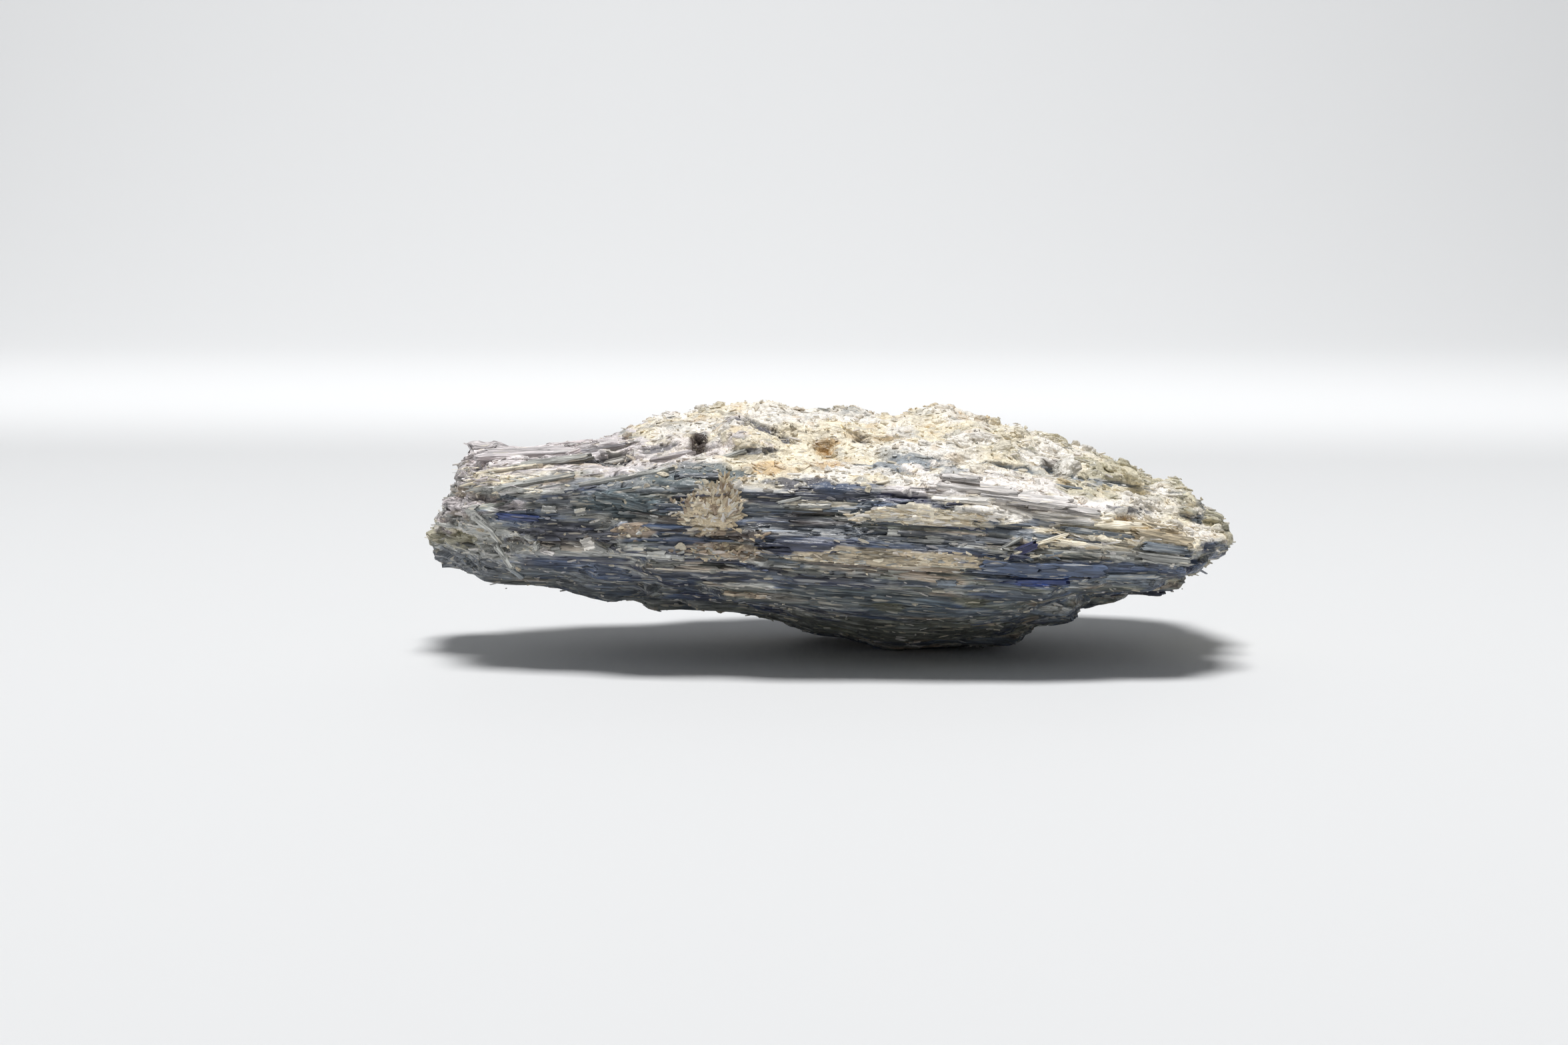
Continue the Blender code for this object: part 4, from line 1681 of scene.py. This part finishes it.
def needle_shape(tip: float = 0.12) -> Shape:
    """Model a four-sided needle that thins to a blunt tip, one unit long from its root at the origin.

    Args:
        tip: The radius of its tip.

    Returns:
        The shape.
    """
    bpy.ops.object.select_all(action="DESELECT")
    bpy.ops.mesh.primitive_cone_add(vertices=4, radius1=0.5, radius2=tip, depth=1)
    piece = bpy.context.object
    for vertex in piece.data.vertices:
        vertex.co = Vector((vertex.co.z + 0.5, vertex.co.x, vertex.co.y))
    return take_shape(piece)


@dataclass
class BladeCoat:
    """The blades that lie on one side of the rock, nearly flush with it.

    They keep off the steep faces of the two ends, out of the hole and mostly off the crust. They grow shorter
    toward the ends, and a blade whose tip would stand clear of the rock is shortened, a few times at most.
    """

    name: str
    side: Side
    count: int
    seed: int
    length: tuple[float, float] = (3.0, 13.0)
    width: tuple[float, float] = (0.12, 0.5)
    depth: float = 0.5
    proud: tuple[float, float] = (-0.22, 0.05)
    wander: float = 0.012
    roll: float = 0.12
    flattening: float = 0.9
    shade: float = 0.28
    end_slope: float = 0.6
    end_span: tuple[float, float] = (24, 40)
    tip: float = 0.45
    tip_proud: float = 0.05
    shortening: float = 0.6
    trials: int = 3

    def build(self, stone: StoneBody, shapes: list[Shape], material: bpy.types.Material) -> bpy.types.Object:
        """Lay the blades.

        Args:
            stone: The rock.
            shapes: The blades to copy.
            material: Their material.

        Returns:
            The finished object.
        """
        chance = np.random.default_rng(self.seed)
        toward = np.stack([stone.facing @ np.array(side.value) for side in Side], axis=1)
        mine = np.argmax(toward, axis=1) == list(Side).index(self.side)
        mine &= np.abs(stone.facing[:, 0]) < self.end_slope
        covered = np.maximum(stone.surface.crust * 0.95, stone.surface.grit)
        weights = stone.areas * mine * (1 - np.clip(covered, 0, 1)) * HOLE.clear(stone.places)
        picks = chance.choice(len(weights), self.count, p=weights / weights.sum())
        points, outward = stone.places[picks], stone.facing[picks]
        share = chance.random(self.count)
        width = self.width[0] * (self.width[1] / self.width[0]) ** share
        length = chance.uniform(*self.length, self.count) * (0.45 + 0.55 * share)
        length *= 1 - 0.5 * ramp(*self.end_span, np.abs(points[:, 0]))
        along = GRAIN.directions(points)
        along -= outward * np.sum(along * outward, axis=1, keepdims=True) * self.flattening
        along += chance.normal(0, self.wander, along.shape)
        facing = outward + np.cross(outward, along) * chance.normal(0, self.roll, (self.count, 1))
        sunk = points + outward * (chance.uniform(*self.proud, (self.count, 1)) - self.depth / 2)
        for _ in range(self.trials):
            reach = unit(along) * length[:, None] * self.tip
            out = np.maximum(stone.proudness(sunk + reach), stone.proudness(sunk - reach))
            clear = np.minimum(HOLE.clear(sunk + reach), HOLE.clear(sunk - reach))
            length = np.where((out > self.tip_proud) | (clear < 1), length * self.shortening, length)
        colour = stone.surface.colour[picks] * chance.lognormal(0, self.shade, (self.count, 1))
        sizes = np.stack([length, width, np.full(self.count, self.depth)], axis=1)
        kinds = chance.integers(0, len(shapes), self.count)
        copies = Copies()
        for index, shape in enumerate(shapes):
            chosen = kinds == index
            turns = placings(along[chosen], facing[chosen])
            copies.add(shape, sunk[chosen], turns, sizes[chosen], colour[chosen])
        return copies.join(self.name, material)


class Plate(NamedTuple):
    """One listed blade on the front: its middle in x and z, its size, tint, tilt and how proud it lies.

    Sizes are in millimetres and the tilt is in degrees, with the right end up. Swing turns the right end out
    from the rock, and lean turns the face upward.
    """

    x: float
    z: float
    length: float
    width: float
    tint: Tint
    tilt: float = 0
    proud: float = 0.2
    thickness: float = 0.5
    swing: float = 0
    lean: float = 0


PLATES = (
    Plate(-29.0, 20.4, 14, 2.2, Tint.LILAC, 1, 0.25),
    Plate(-27.5, 19.6, 9, 0.8, Tint.PALE, 1, 0.25),
    Plate(-31.5, 18.9, 7, 0.8, Tint.CREAM, 8, 0.3),
    Plate(-28.5, 18.2, 9, 0.6, Tint.PALE, 4, 0.25),
    Plate(-20.5, 19.6, 6, 0.6, Tint.WHITE, 3, 0.3),
    Plate(-15.6, 20.3, 5, 0.6, Tint.LILAC, 4, 0.3),
    Plate(-13.0, 19.0, 5, 0.8, Tint.SLATE, 2, 0.15),
    Plate(-20.0, 18.8, 10, 0.6, Tint.PALE, 0, 0.2),
    Plate(-9.6, 20.6, 3.0, 0.5, Tint.PALE, 10, 0.3),
    Plate(-34.8, 15.3, 2.6, 0.8, Tint.PALE, -38, 0.3),
    Plate(-33.6, 14.1, 3.0, 0.8, Tint.PALE, -50, 0.3),
    Plate(-32.6, 12.5, 2.8, 0.8, Tint.PALE, -62, 0.3),
    Plate(-31.9, 10.6, 3.2, 0.7, Tint.PALE, -70, 0.3),
    Plate(-31.2, 8.6, 2.4, 0.6, Tint.STEEL, -60, 0.2),
    Plate(-30.2, 14.8, 5.0, 0.6, Tint.COBALT, 2, 0.15),
    Plate(-27.2, 15.7, 1.8, 0.6, Tint.PALE, -4, 0.2),
    Plate(-24.2, 15.5, 1.3, 0.7, Tint.PALE, 12, 0.2),
    Plate(-18.4, 14.7, 1.9, 0.6, Tint.PALE, -10, 0.25),
    Plate(-21.4, 16.9, 3.6, 0.9, Tint.TEAL, 2, 0.1),
    Plate(-19.0, 16.2, 3.2, 0.9, Tint.TEAL, -4, 0.15),
    Plate(-23.4, 12.6, 1.9, 1.2, Tint.WHITE, 28, 0.45, 0.5, 0.25),
    Plate(-22.2, 12.2, 1.6, 0.5, Tint.PALE, -14, 0.3),
    Plate(-28.4, 12.2, 1.3, 0.6, Tint.PALE, 62, 0.4, 0.4, 0.3),
    Plate(-27.4, 11.7, 1.5, 0.6, Tint.SILVER, -38, 0.4, 0.4, -0.3),
    Plate(-26.6, 12.0, 1.1, 0.5, Tint.PALE, 20, 0.3),
    Plate(-16.9, 11.8, 2.2, 0.5, Tint.PALE, 1, 0.25),
    Plate(-14.9, 11.5, 1.4, 0.5, Tint.PALE, -6, 0.3),
    Plate(-19.0, 12.3, 2.4, 0.4, Tint.PALE, 3, 0.2),
    Plate(-2.0, 16.4, 3.8, 0.45, Tint.PALE, 1, 0.25),
    Plate(-4.4, 16.9, 2.6, 0.25, Tint.PALE, 12, 0.25),
    Plate(5.4, 14.0, 1.5, 0.6, Tint.PALE, 0, 0.2),
    Plate(9.3, 13.5, 2.2, 0.8, Tint.PALE, -4, 0.2),
    Plate(10.4, 9.3, 2.2, 0.8, Tint.STEEL, 0, 0.2),
    Plate(13.0, 6.8, 1.8, 0.7, Tint.OLIVE, -4, 0.05),
    Plate(5.3, 6.4, 1.6, 0.6, Tint.OLIVE, 0, 0.05),
    # partly painted reflection: the slab's silver and white plates below are painted near white for the
    # overhead lamp's reflection as well as their own pale colour, and lean turns them up toward the lamp
    Plate(13.4, 17.9, 9, 1.6, Tint.SILVER, -6, 0.35, lean=0.8),
    Plate(17.4, 17.0, 11, 1.4, Tint.SILVER, -7, 0.35, lean=0.9),
    Plate(11.8, 17.0, 6.5, 0.9, Tint.WHITE, -8, 0.3, lean=0.9),
    Plate(21.6, 16.0, 8, 0.9, Tint.SILVER, -7, 0.3, lean=0.9),
    Plate(16.5, 16.0, 8, 0.8, Tint.WHITE, -6, 0.3, lean=0.9),
    Plate(21.0, 15.1, 8, 0.8, Tint.WHITE, -6, 0.3, lean=0.9),
    Plate(25.5, 14.6, 8, 0.8, Tint.CREAM, -7, 0.3, lean=0.9),
    Plate(11.8, 18.7, 4.2, 1.2, Tint.SILVER, -12, 0.5, lean=1.1),
    Plate(21.5, 17.9, 5, 0.4, Tint.STEEL, -10, 0.05),
    Plate(6.3, 16.9, 4.2, 0.45, Tint.DEEP, -8, 0.15),
    Plate(17.2, 12.4, 4.0, 0.8, Tint.DEEP, 24, 0.35, 0.5, 0.1),
    Plate(16.2, 12.9, 3.0, 0.3, Tint.PALE, 32, 0.35),
    Plate(19.8, 13.2, 5.6, 0.4, Tint.CREAM, 25, 0.35),
    Plate(16.4, 10.9, 6.5, 1.0, Tint.BLUE, -3, 0.4, 0.6),
    Plate(22.0, 10.6, 7.5, 1.1, Tint.BLUE, -5, 0.45, 0.6),
    Plate(27.8, 10.0, 6.0, 0.9, Tint.STEEL, -7, 0.4, 0.6),
    Plate(19.3, 9.3, 5.6, 0.7, Tint.COBALT, -3, 0.15),
    Plate(27.0, 9.3, 9, 0.5, Tint.STEEL, -5, 0.1),
    Plate(30.0, 14.4, 5.5, 0.8, Tint.SAND, -8, 0.25, 0.7),
    Plate(30.8, 13.4, 6.5, 0.8, Tint.SAND, -7, 0.4, 0.7),
    Plate(31.0, 12.4, 5.6, 0.8, Tint.STEEL, -6, 0.4, 0.7),
    Plate(30.8, 11.4, 6.2, 0.9, Tint.PALE, -6, 0.3, 0.7),
    Plate(25.0, 13.9, 8, 0.5, Tint.STEEL, -6, 0.1),
    Plate(24.2, 12.7, 9, 0.5, Tint.CREAM, -5, 0.2),
)


@dataclass
class LaidPlates:
    """The blades and chips that stand out on the front, each in its own place."""

    name: str = "laid_plates"
    plates: tuple[Plate, ...] = PLATES
    shade: float = 0.08
    seed: int = 51

    def build(self, stone: StoneBody, shapes: list[Shape], material: bpy.types.Material) -> bpy.types.Object:
        """Lay the plates.

        Args:
            stone: The rock.
            shapes: The plates to copy.
            material: Their material.

        Returns:
            The finished object.
        """
        chance = np.random.default_rng(self.seed)
        copies = Copies()
        for index, plate in enumerate(self.plates):
            place, outward = stone.front(plate.x, plate.z)
            outward = unit(outward + np.array((0, 0, plate.lean)))
            turn = math.radians(plate.tilt)
            along = np.array((math.cos(turn), 0, math.sin(turn)))
            along = along - outward * (along @ outward) + outward * plate.swing
            middle = place + outward * (plate.proud - plate.thickness / 2)
            colour = plate.tint.linear() * chance.lognormal(0, self.shade)
            size = np.array((plate.length, plate.width, plate.thickness))
            turns = placings(along[None], outward[None])
            copies.add(shapes[index % len(shapes)], middle[None], turns, size[None], colour[None])
        return copies.join(self.name, material)


class Tuft(NamedTuple):
    """A patch of needles on the front: its middle in x and z, its half sizes and how they spread.

    A spread of 0 lays them along the grain and 1 turns them every way. Fan is how strongly they point away
    from the foot of the patch, and broad widens them into flakes.
    """

    x: float
    z: float
    half_length: float
    half_width: float
    count: int
    spread: float
    length: tuple[float, float]
    tints: tuple[Tint, ...]
    broad: float = 1.4
    fan: float = 0


FRESH = (Tint.CREAM, Tint.WHITE, Tint.SAND)
DUSTY = (Tint.TAN, Tint.SAND, Tint.PALE)
FANNED = (Tint.CREAM, Tint.WHITE, Tint.SAND, Tint.SAND, Tint.TAN)

TUFTS = (
    Tuft(-12.9, 15.3, 1.9, 1.5, 240, 1.0, (0.4, 1.1), FANNED, 2.4, 1.4),
    Tuft(-10.6, 16.6, 1.6, 1.7, 260, 1.0, (0.4, 1.2), FANNED, 2.6, 1.4),
    Tuft(-14.6, 16.1, 1.2, 0.7, 60, 0.9, (0.4, 1.0), FANNED, 2.0, 1.2),
    Tuft(-11.3, 14.4, 1.9, 0.7, 100, 0.9, (0.3, 0.9), FANNED, 2.0, 1.2),
    Tuft(-9.3, 13.7, 3.4, 0.6, 90, 0.3, (0.4, 1.1), (Tint.TAN, Tint.BROWN, Tint.SAND), 1.8),
    Tuft(-11.1, 12.1, 3.7, 0.8, 200, 0.45, (0.3, 0.9), DUSTY, 2.0),
    Tuft(-18.8, 13.9, 2.0, 0.7, 80, 0.4, (0.3, 0.8), DUSTY, 2.0),
    Tuft(7.8, 15.5, 7.3, 0.75, 360, 0.16, (0.4, 1.4), FRESH, 1.7),
    Tuft(5.3, 11.7, 9.3, 0.7, 300, 0.16, (0.4, 1.3), (Tint.CREAM, Tint.SAND, Tint.PALE), 1.7),
    Tuft(26.7, 13.7, 7.6, 1.4, 360, 0.16, (0.5, 1.6), FRESH, 1.6),
    Tuft(18.5, 12.2, 2.6, 0.6, 50, 0.3, (0.5, 1.2), (Tint.PALE, Tint.CREAM, Tint.STEEL)),
    Tuft(-31.0, 18.0, 5.0, 1.0, 200, 0.2, (0.5, 1.6), (Tint.CREAM, Tint.LILAC, Tint.PALE)),
)


@dataclass
class Needles:
    """Fine fibres of mica and kyanite that stand in tufts."""

    name: str = "needles"
    tufts: tuple[Tuft, ...] = TUFTS
    width: tuple[float, float] = (0.1, 0.32)
    flatness: float = 0.6
    depth: float = 0.1
    lift: tuple[float, float] = (0.0, 0.16)
    ragged: float = 0.35
    shades: tuple[float, float] = (0.8, 1.15)
    seed: int = 53

    def build(self, stone: StoneBody, material: bpy.types.Material) -> bpy.types.Object:
        """Plant the tufts.

        Args:
            stone: The rock.
            material: Their material.

        Returns:
            The finished object.
        """
        chance = np.random.default_rng(self.seed)
        shape = needle_shape()
        copies = Copies()
        for tuft in self.tufts:
            angle = chance.uniform(0, 2 * np.pi, tuft.count)
            radius = np.sqrt(chance.random(tuft.count))
            rim = np.stack([np.cos(angle), np.sin(angle), np.full(tuft.count, tuft.x)], axis=1)
            radius *= 1 + self.ragged * Noise.smooth(rim * 2, 301)
            offset_x = radius * np.cos(angle) * tuft.half_length
            offset_z = radius * np.sin(angle) * tuft.half_width
            found = [stone.front(tuft.x + x, tuft.z + z) for x, z in zip(offset_x, offset_z)]
            roots = np.array([place for place, _ in found])
            outward = np.array([facing for _, facing in found])
            radial = np.stack([offset_x, np.zeros_like(offset_x), offset_z + tuft.half_width], axis=1)
            random_way = chance.normal(0, 1, (tuft.count, 3)) * (1, 0.3, 1)
            along = GRAIN.directions(roots) * chance.choice((-1, 1), (tuft.count, 1)) * (1 - tuft.spread)
            along = unit(along + tuft.spread * (unit(radial) * tuft.fan + unit(random_way)))
            along = along + outward * chance.uniform(*self.lift, (tuft.count, 1))
            width = chance.uniform(*self.width, tuft.count)
            lengths = chance.uniform(*tuft.length, tuft.count)
            sizes = np.stack([lengths, width * tuft.broad, width * self.flatness], axis=1)
            tints = np.array([tint.linear() for tint in tuft.tints])
            colour = tints[chance.integers(0, len(tints), tuft.count)]
            colour = colour * chance.uniform(*self.shades, (tuft.count, 1))
            copies.add(shape, roots - outward * self.depth, placings(along, outward), sizes, colour)
        return copies.join(self.name, material)


@dataclass
class Crumbs:
    """Grains of mica and quartz strewn over the crust and the granular patches.

    None lies further left than left, patches is how many gather on the granular patches, and upward is how
    far the rock must look up where they lie, from -1 for anywhere.
    """

    name: str
    count: int
    subdivisions: int
    rough: float
    across: tuple[float, float]
    seed: int
    kinds: int = 5
    left: float = -60
    patches: float = 1
    upward: float = -1
    stray: float = 0.02
    scatter: float = 0.12
    depth: float = 0.12
    stretch_least: tuple[float, float, float] = (0.9, 0.8, 0.6)
    stretch_most: tuple[float, float, float] = (1.7, 1.1, 0.9)
    grain_pull: float = 1.5
    flattening: float = 0.85
    rock_share: float = 0.5
    darkest: float = 0.78
    shades: tuple[float, float] = (0.72, 1.12)

    def build(self, stone: StoneBody, material: bpy.types.Material) -> bpy.types.Object:
        """Strew the grains.

        Args:
            stone: The rock.
            material: Their material.

        Returns:
            The finished object.
        """
        chance = np.random.default_rng(self.seed)
        draw = random.Random(self.seed)
        covered = np.maximum(stone.surface.crust, stone.surface.grit * self.patches)
        covered = covered + self.stray * self.patches
        wanted = (stone.places[:, 0] > self.left) & (stone.facing[:, 2] > self.upward)
        weights = stone.areas * covered * wanted * HOLE.clear(stone.places)
        picks = chance.choice(len(weights), self.count, p=weights / weights.sum())
        across = self.across[0] * (self.across[1] / self.across[0]) ** chance.random(self.count)
        stretch = chance.uniform(self.stretch_least, self.stretch_most, (self.count, 3))
        sizes = across[:, None] * stretch
        outward = stone.facing[picks]
        places = stone.places[picks] + chance.normal(0, self.scatter, (self.count, 3))
        places -= outward * across[:, None] * self.depth
        along = chance.normal(0, 1, (self.count, 3)) + GRAIN.directions(places) * self.grain_pull
        along -= outward * np.sum(along * outward, axis=1, keepdims=True) * self.flattening
        crust = PIGMENT.crust_colour(places)
        blend = stone.surface.colour[picks] * self.rock_share + crust * (1 - self.rock_share)
        colour = np.maximum(blend, crust * self.darkest)
        colour *= chance.uniform(*self.shades, (self.count, 1))
        kinds = chance.integers(0, self.kinds, self.count)
        copies = Copies()
        for index in range(self.kinds):
            chosen = kinds == index
            turns = placings(along[chosen], outward[chosen])
            shape = crumb_shape(self.subdivisions, self.rough, draw)
            copies.add(shape, places[chosen], turns, sizes[chosen], colour[chosen])
        return copies.join(self.name, material)


@dataclass
class Flakes:
    """Thin silvery mica flakes caught all over the stone."""

    name: str = "mica_flakes"
    count: int = 3000
    seed: int = 47
    across: tuple[float, float] = (0.1, 0.36)
    stretch: tuple[float, float] = (1.5, 6)
    thickness: tuple[float, float] = (0.05, 0.12)
    height: float = 0.06
    wobble: float = 0.22
    wander: float = 0.2
    shine: tuple[float, float] = (0.2, 0.8)
    tints: tuple[Tint, ...] = (Tint.PALE, Tint.SILVER, Tint.WHITE, Tint.CREAM)

    def build(self, stone: StoneBody, material: bpy.types.Material) -> bpy.types.Object:
        """Scatter the flakes.

        Args:
            stone: The rock.
            material: Their material.

        Returns:
            The finished object.
        """
        chance = np.random.default_rng(self.seed)
        weights = stone.areas * (0.25 + stone.surface.crust * 0.5 + stone.surface.grit)
        weights = weights * HOLE.clear(stone.places)
        picks = chance.choice(len(weights), self.count, p=weights / weights.sum())
        outward = stone.facing[picks]
        places = stone.places[picks] + outward * self.height
        facing = unit(outward + chance.normal(0, self.wobble, (self.count, 3)))
        across = self.across[0] * (self.across[1] / self.across[0]) ** chance.random(self.count)
        length = across * chance.uniform(*self.stretch, self.count)
        sizes = np.stack([length, across, chance.uniform(*self.thickness, self.count)], axis=1)
        along = GRAIN.directions(places) + chance.normal(0, self.wander, (self.count, 3))
        tints = np.array([tint.linear() for tint in self.tints])
        tints = tints[chance.integers(0, len(tints), self.count)]
        colour = mix(stone.surface.colour[picks], tints, chance.uniform(*self.shine, self.count))
        copies = Copies()
        copies.add(flake_shape(), places, placings(along, facing), sizes, colour)
        return copies.join(self.name, material)


@dataclass(frozen=True)
class SweepFinish:
    """Plain pale paint."""

    name: str = "pale_floor"
    colour: tuple[float, float, float] = (0.86, 0.865, 0.87)
    roughness: float = 0.75

    def make(self) -> bpy.types.Material:
        """Build the material.

        Returns:
            The material.
        """
        material, _, shader = Finish.new(self.name)
        shader.inputs["Base Color"].default_value = (*self.colour, 1)
        shader.inputs["Roughness"].default_value = self.roughness
        return material


class Lamp(NamedTuple):
    """A square area lamp: its place, the place it points at and its side in millimetres, and its watts."""

    name: str
    at: tuple[float, float, float]
    aim: tuple[float, float, float]
    size: float
    power: float

    def hang(self) -> None:
        """Add the lamp to the scene."""
        lamp = bpy.data.lights.new(self.name, "AREA")
        lamp.size = self.size * MM
        lamp.energy = self.power
        holder = bpy.data.objects.new(self.name, lamp)
        holder.location = Vector(self.at) * MM
        holder.rotation_euler = (Vector(self.aim) - Vector(self.at)).to_track_quat("-Z", "Y").to_euler()
        bpy.context.scene.collection.objects.link(holder)


@dataclass
class Studio:
    """A pale sweep, a soft lamp overhead, another on the wall behind, and the camera."""

    lamps: tuple[Lamp, ...] = (
        Lamp("overhead", (-10, -40, 860), (0, 0, 0), 300, 6.6),
        Lamp("wall", (-60, 430, 330), (-30, 800, 90), 600, 0.8),
    )
    sky: tuple[float, float, float] = (0.93, 0.96, 1)
    sky_strength: float = 0.15
    camera_at: tuple[float, float, float] = (-4.9, -333.1, 49.3)
    camera_pitch: float = 6.3
    sensor: float = 36
    lens: float = 76.74
    floor_half_width: float = 1500
    floor_front: float = -700
    floor_back: float = 520
    wall_radius: float = 350
    wall_height: float = 1300
    wall_steps: int = 16

    def sweep(self) -> None:
        """Model the floor, which curves up into a wall far behind the stone."""
        bpy.ops.object.select_all(action="DESELECT")
        bpy.ops.mesh.primitive_plane_add(size=1)
        piece = bpy.context.object
        piece.name = "sweep"
        for vertex in piece.data.vertices:
            vertex.co.x *= 2 * self.floor_half_width * MM
            vertex.co.y = (self.floor_back if vertex.co.y > 0 else self.floor_front) * MM
        bpy.ops.object.mode_set(mode="EDIT")
        bpy.ops.mesh.select_all(action="DESELECT")
        bpy.ops.object.mode_set(mode="OBJECT")
        for edge in piece.data.edges:
            ends = [piece.data.vertices[index].co.y for index in edge.vertices]
            edge.select = min(ends) > self.floor_back * MM - 1e-6
        bpy.ops.object.mode_set(mode="EDIT")
        bpy.ops.mesh.spin(
            steps=self.wall_steps,
            angle=-math.radians(90),
            center=(0, self.floor_back * MM, self.wall_radius * MM),
            axis=(1, 0, 0),
        )
        bpy.ops.mesh.extrude_region_move(
            TRANSFORM_OT_translate={"value": (0, 0, (self.wall_height - self.wall_radius) * MM)}
        )
        bpy.ops.object.mode_set(mode="OBJECT")
        bpy.ops.object.shade_smooth()
        piece.data.materials.append(SweepFinish().make())

    def light(self) -> None:
        """Set the lamps and the even surroundings."""
        scene = bpy.context.scene
        scene.view_settings.view_transform = "Standard"
        world = bpy.data.worlds.new("surroundings")
        scene.world = world
        world.use_nodes = True
        background = world.node_tree.nodes["Background"]
        background.inputs["Color"].default_value = (*self.sky, 1)
        background.inputs["Strength"].default_value = self.sky_strength
        for lamp in self.lamps:
            lamp.hang()

    def camera(self) -> None:
        """Set up the camera."""
        data = bpy.data.cameras.new("camera")
        data.sensor_width = self.sensor
        data.lens = self.lens
        holder = bpy.data.objects.new("camera", data)
        holder.location = Vector(self.camera_at) * MM
        holder.rotation_euler = (math.radians(90 - self.camera_pitch), 0, 0)
        bpy.context.scene.collection.objects.link(holder)
        bpy.context.scene.camera = holder


def main() -> None:
    """Build every piece in order."""
    logging.basicConfig(level=logging.INFO, format="%(message)s")
    bpy.ops.object.select_all(action="DESELECT")
    kyanite = StoneFinish().make()
    crust = CrustFinish().make()
    mica = MicaFinish().make()
    stone = StoneBody()
    file_piece(stone.build(kyanite))
    shapes = BladeShapes().build()
    for coat in (
        BladeCoat("front_blades", Side.FRONT, 1300, 11),
        BladeCoat("top_blades", Side.TOP, 800, 12),
        BladeCoat("back_blades", Side.BACK, 1100, 13),
        BladeCoat("under_blades", Side.UNDER, 600, 14, proud=(-0.25, 0)),
    ):
        file_piece(coat.build(stone, shapes, kyanite))
    broad_shapes = BladeShapes(count=5, stations=9, lanes=5, seed=9).build()
    file_piece(LaidPlates().build(stone, broad_shapes, kyanite))
    file_piece(Needles().build(stone, mica))
    nodules = Crumbs("crust_nodules", 140, 3, 0.3, (0.8, 1.8), 30, left=8, patches=0, upward=0.3)
    knobs = Crumbs("crust_knobs", 600, 2, 0.35, (0.3, 0.9), 31, kinds=8, patches=0.4)
    grains = Crumbs("crust_grains", 6000, 1, 0.5, (0.1, 0.32), 32)
    for crumbs in (nodules, knobs, grains):
        file_piece(crumbs.build(stone, crust))
    file_piece(Flakes().build(stone, mica))
    studio = Studio()
    studio.sweep()
    studio.light()
    studio.camera()


if __name__ == "__main__":
    main()
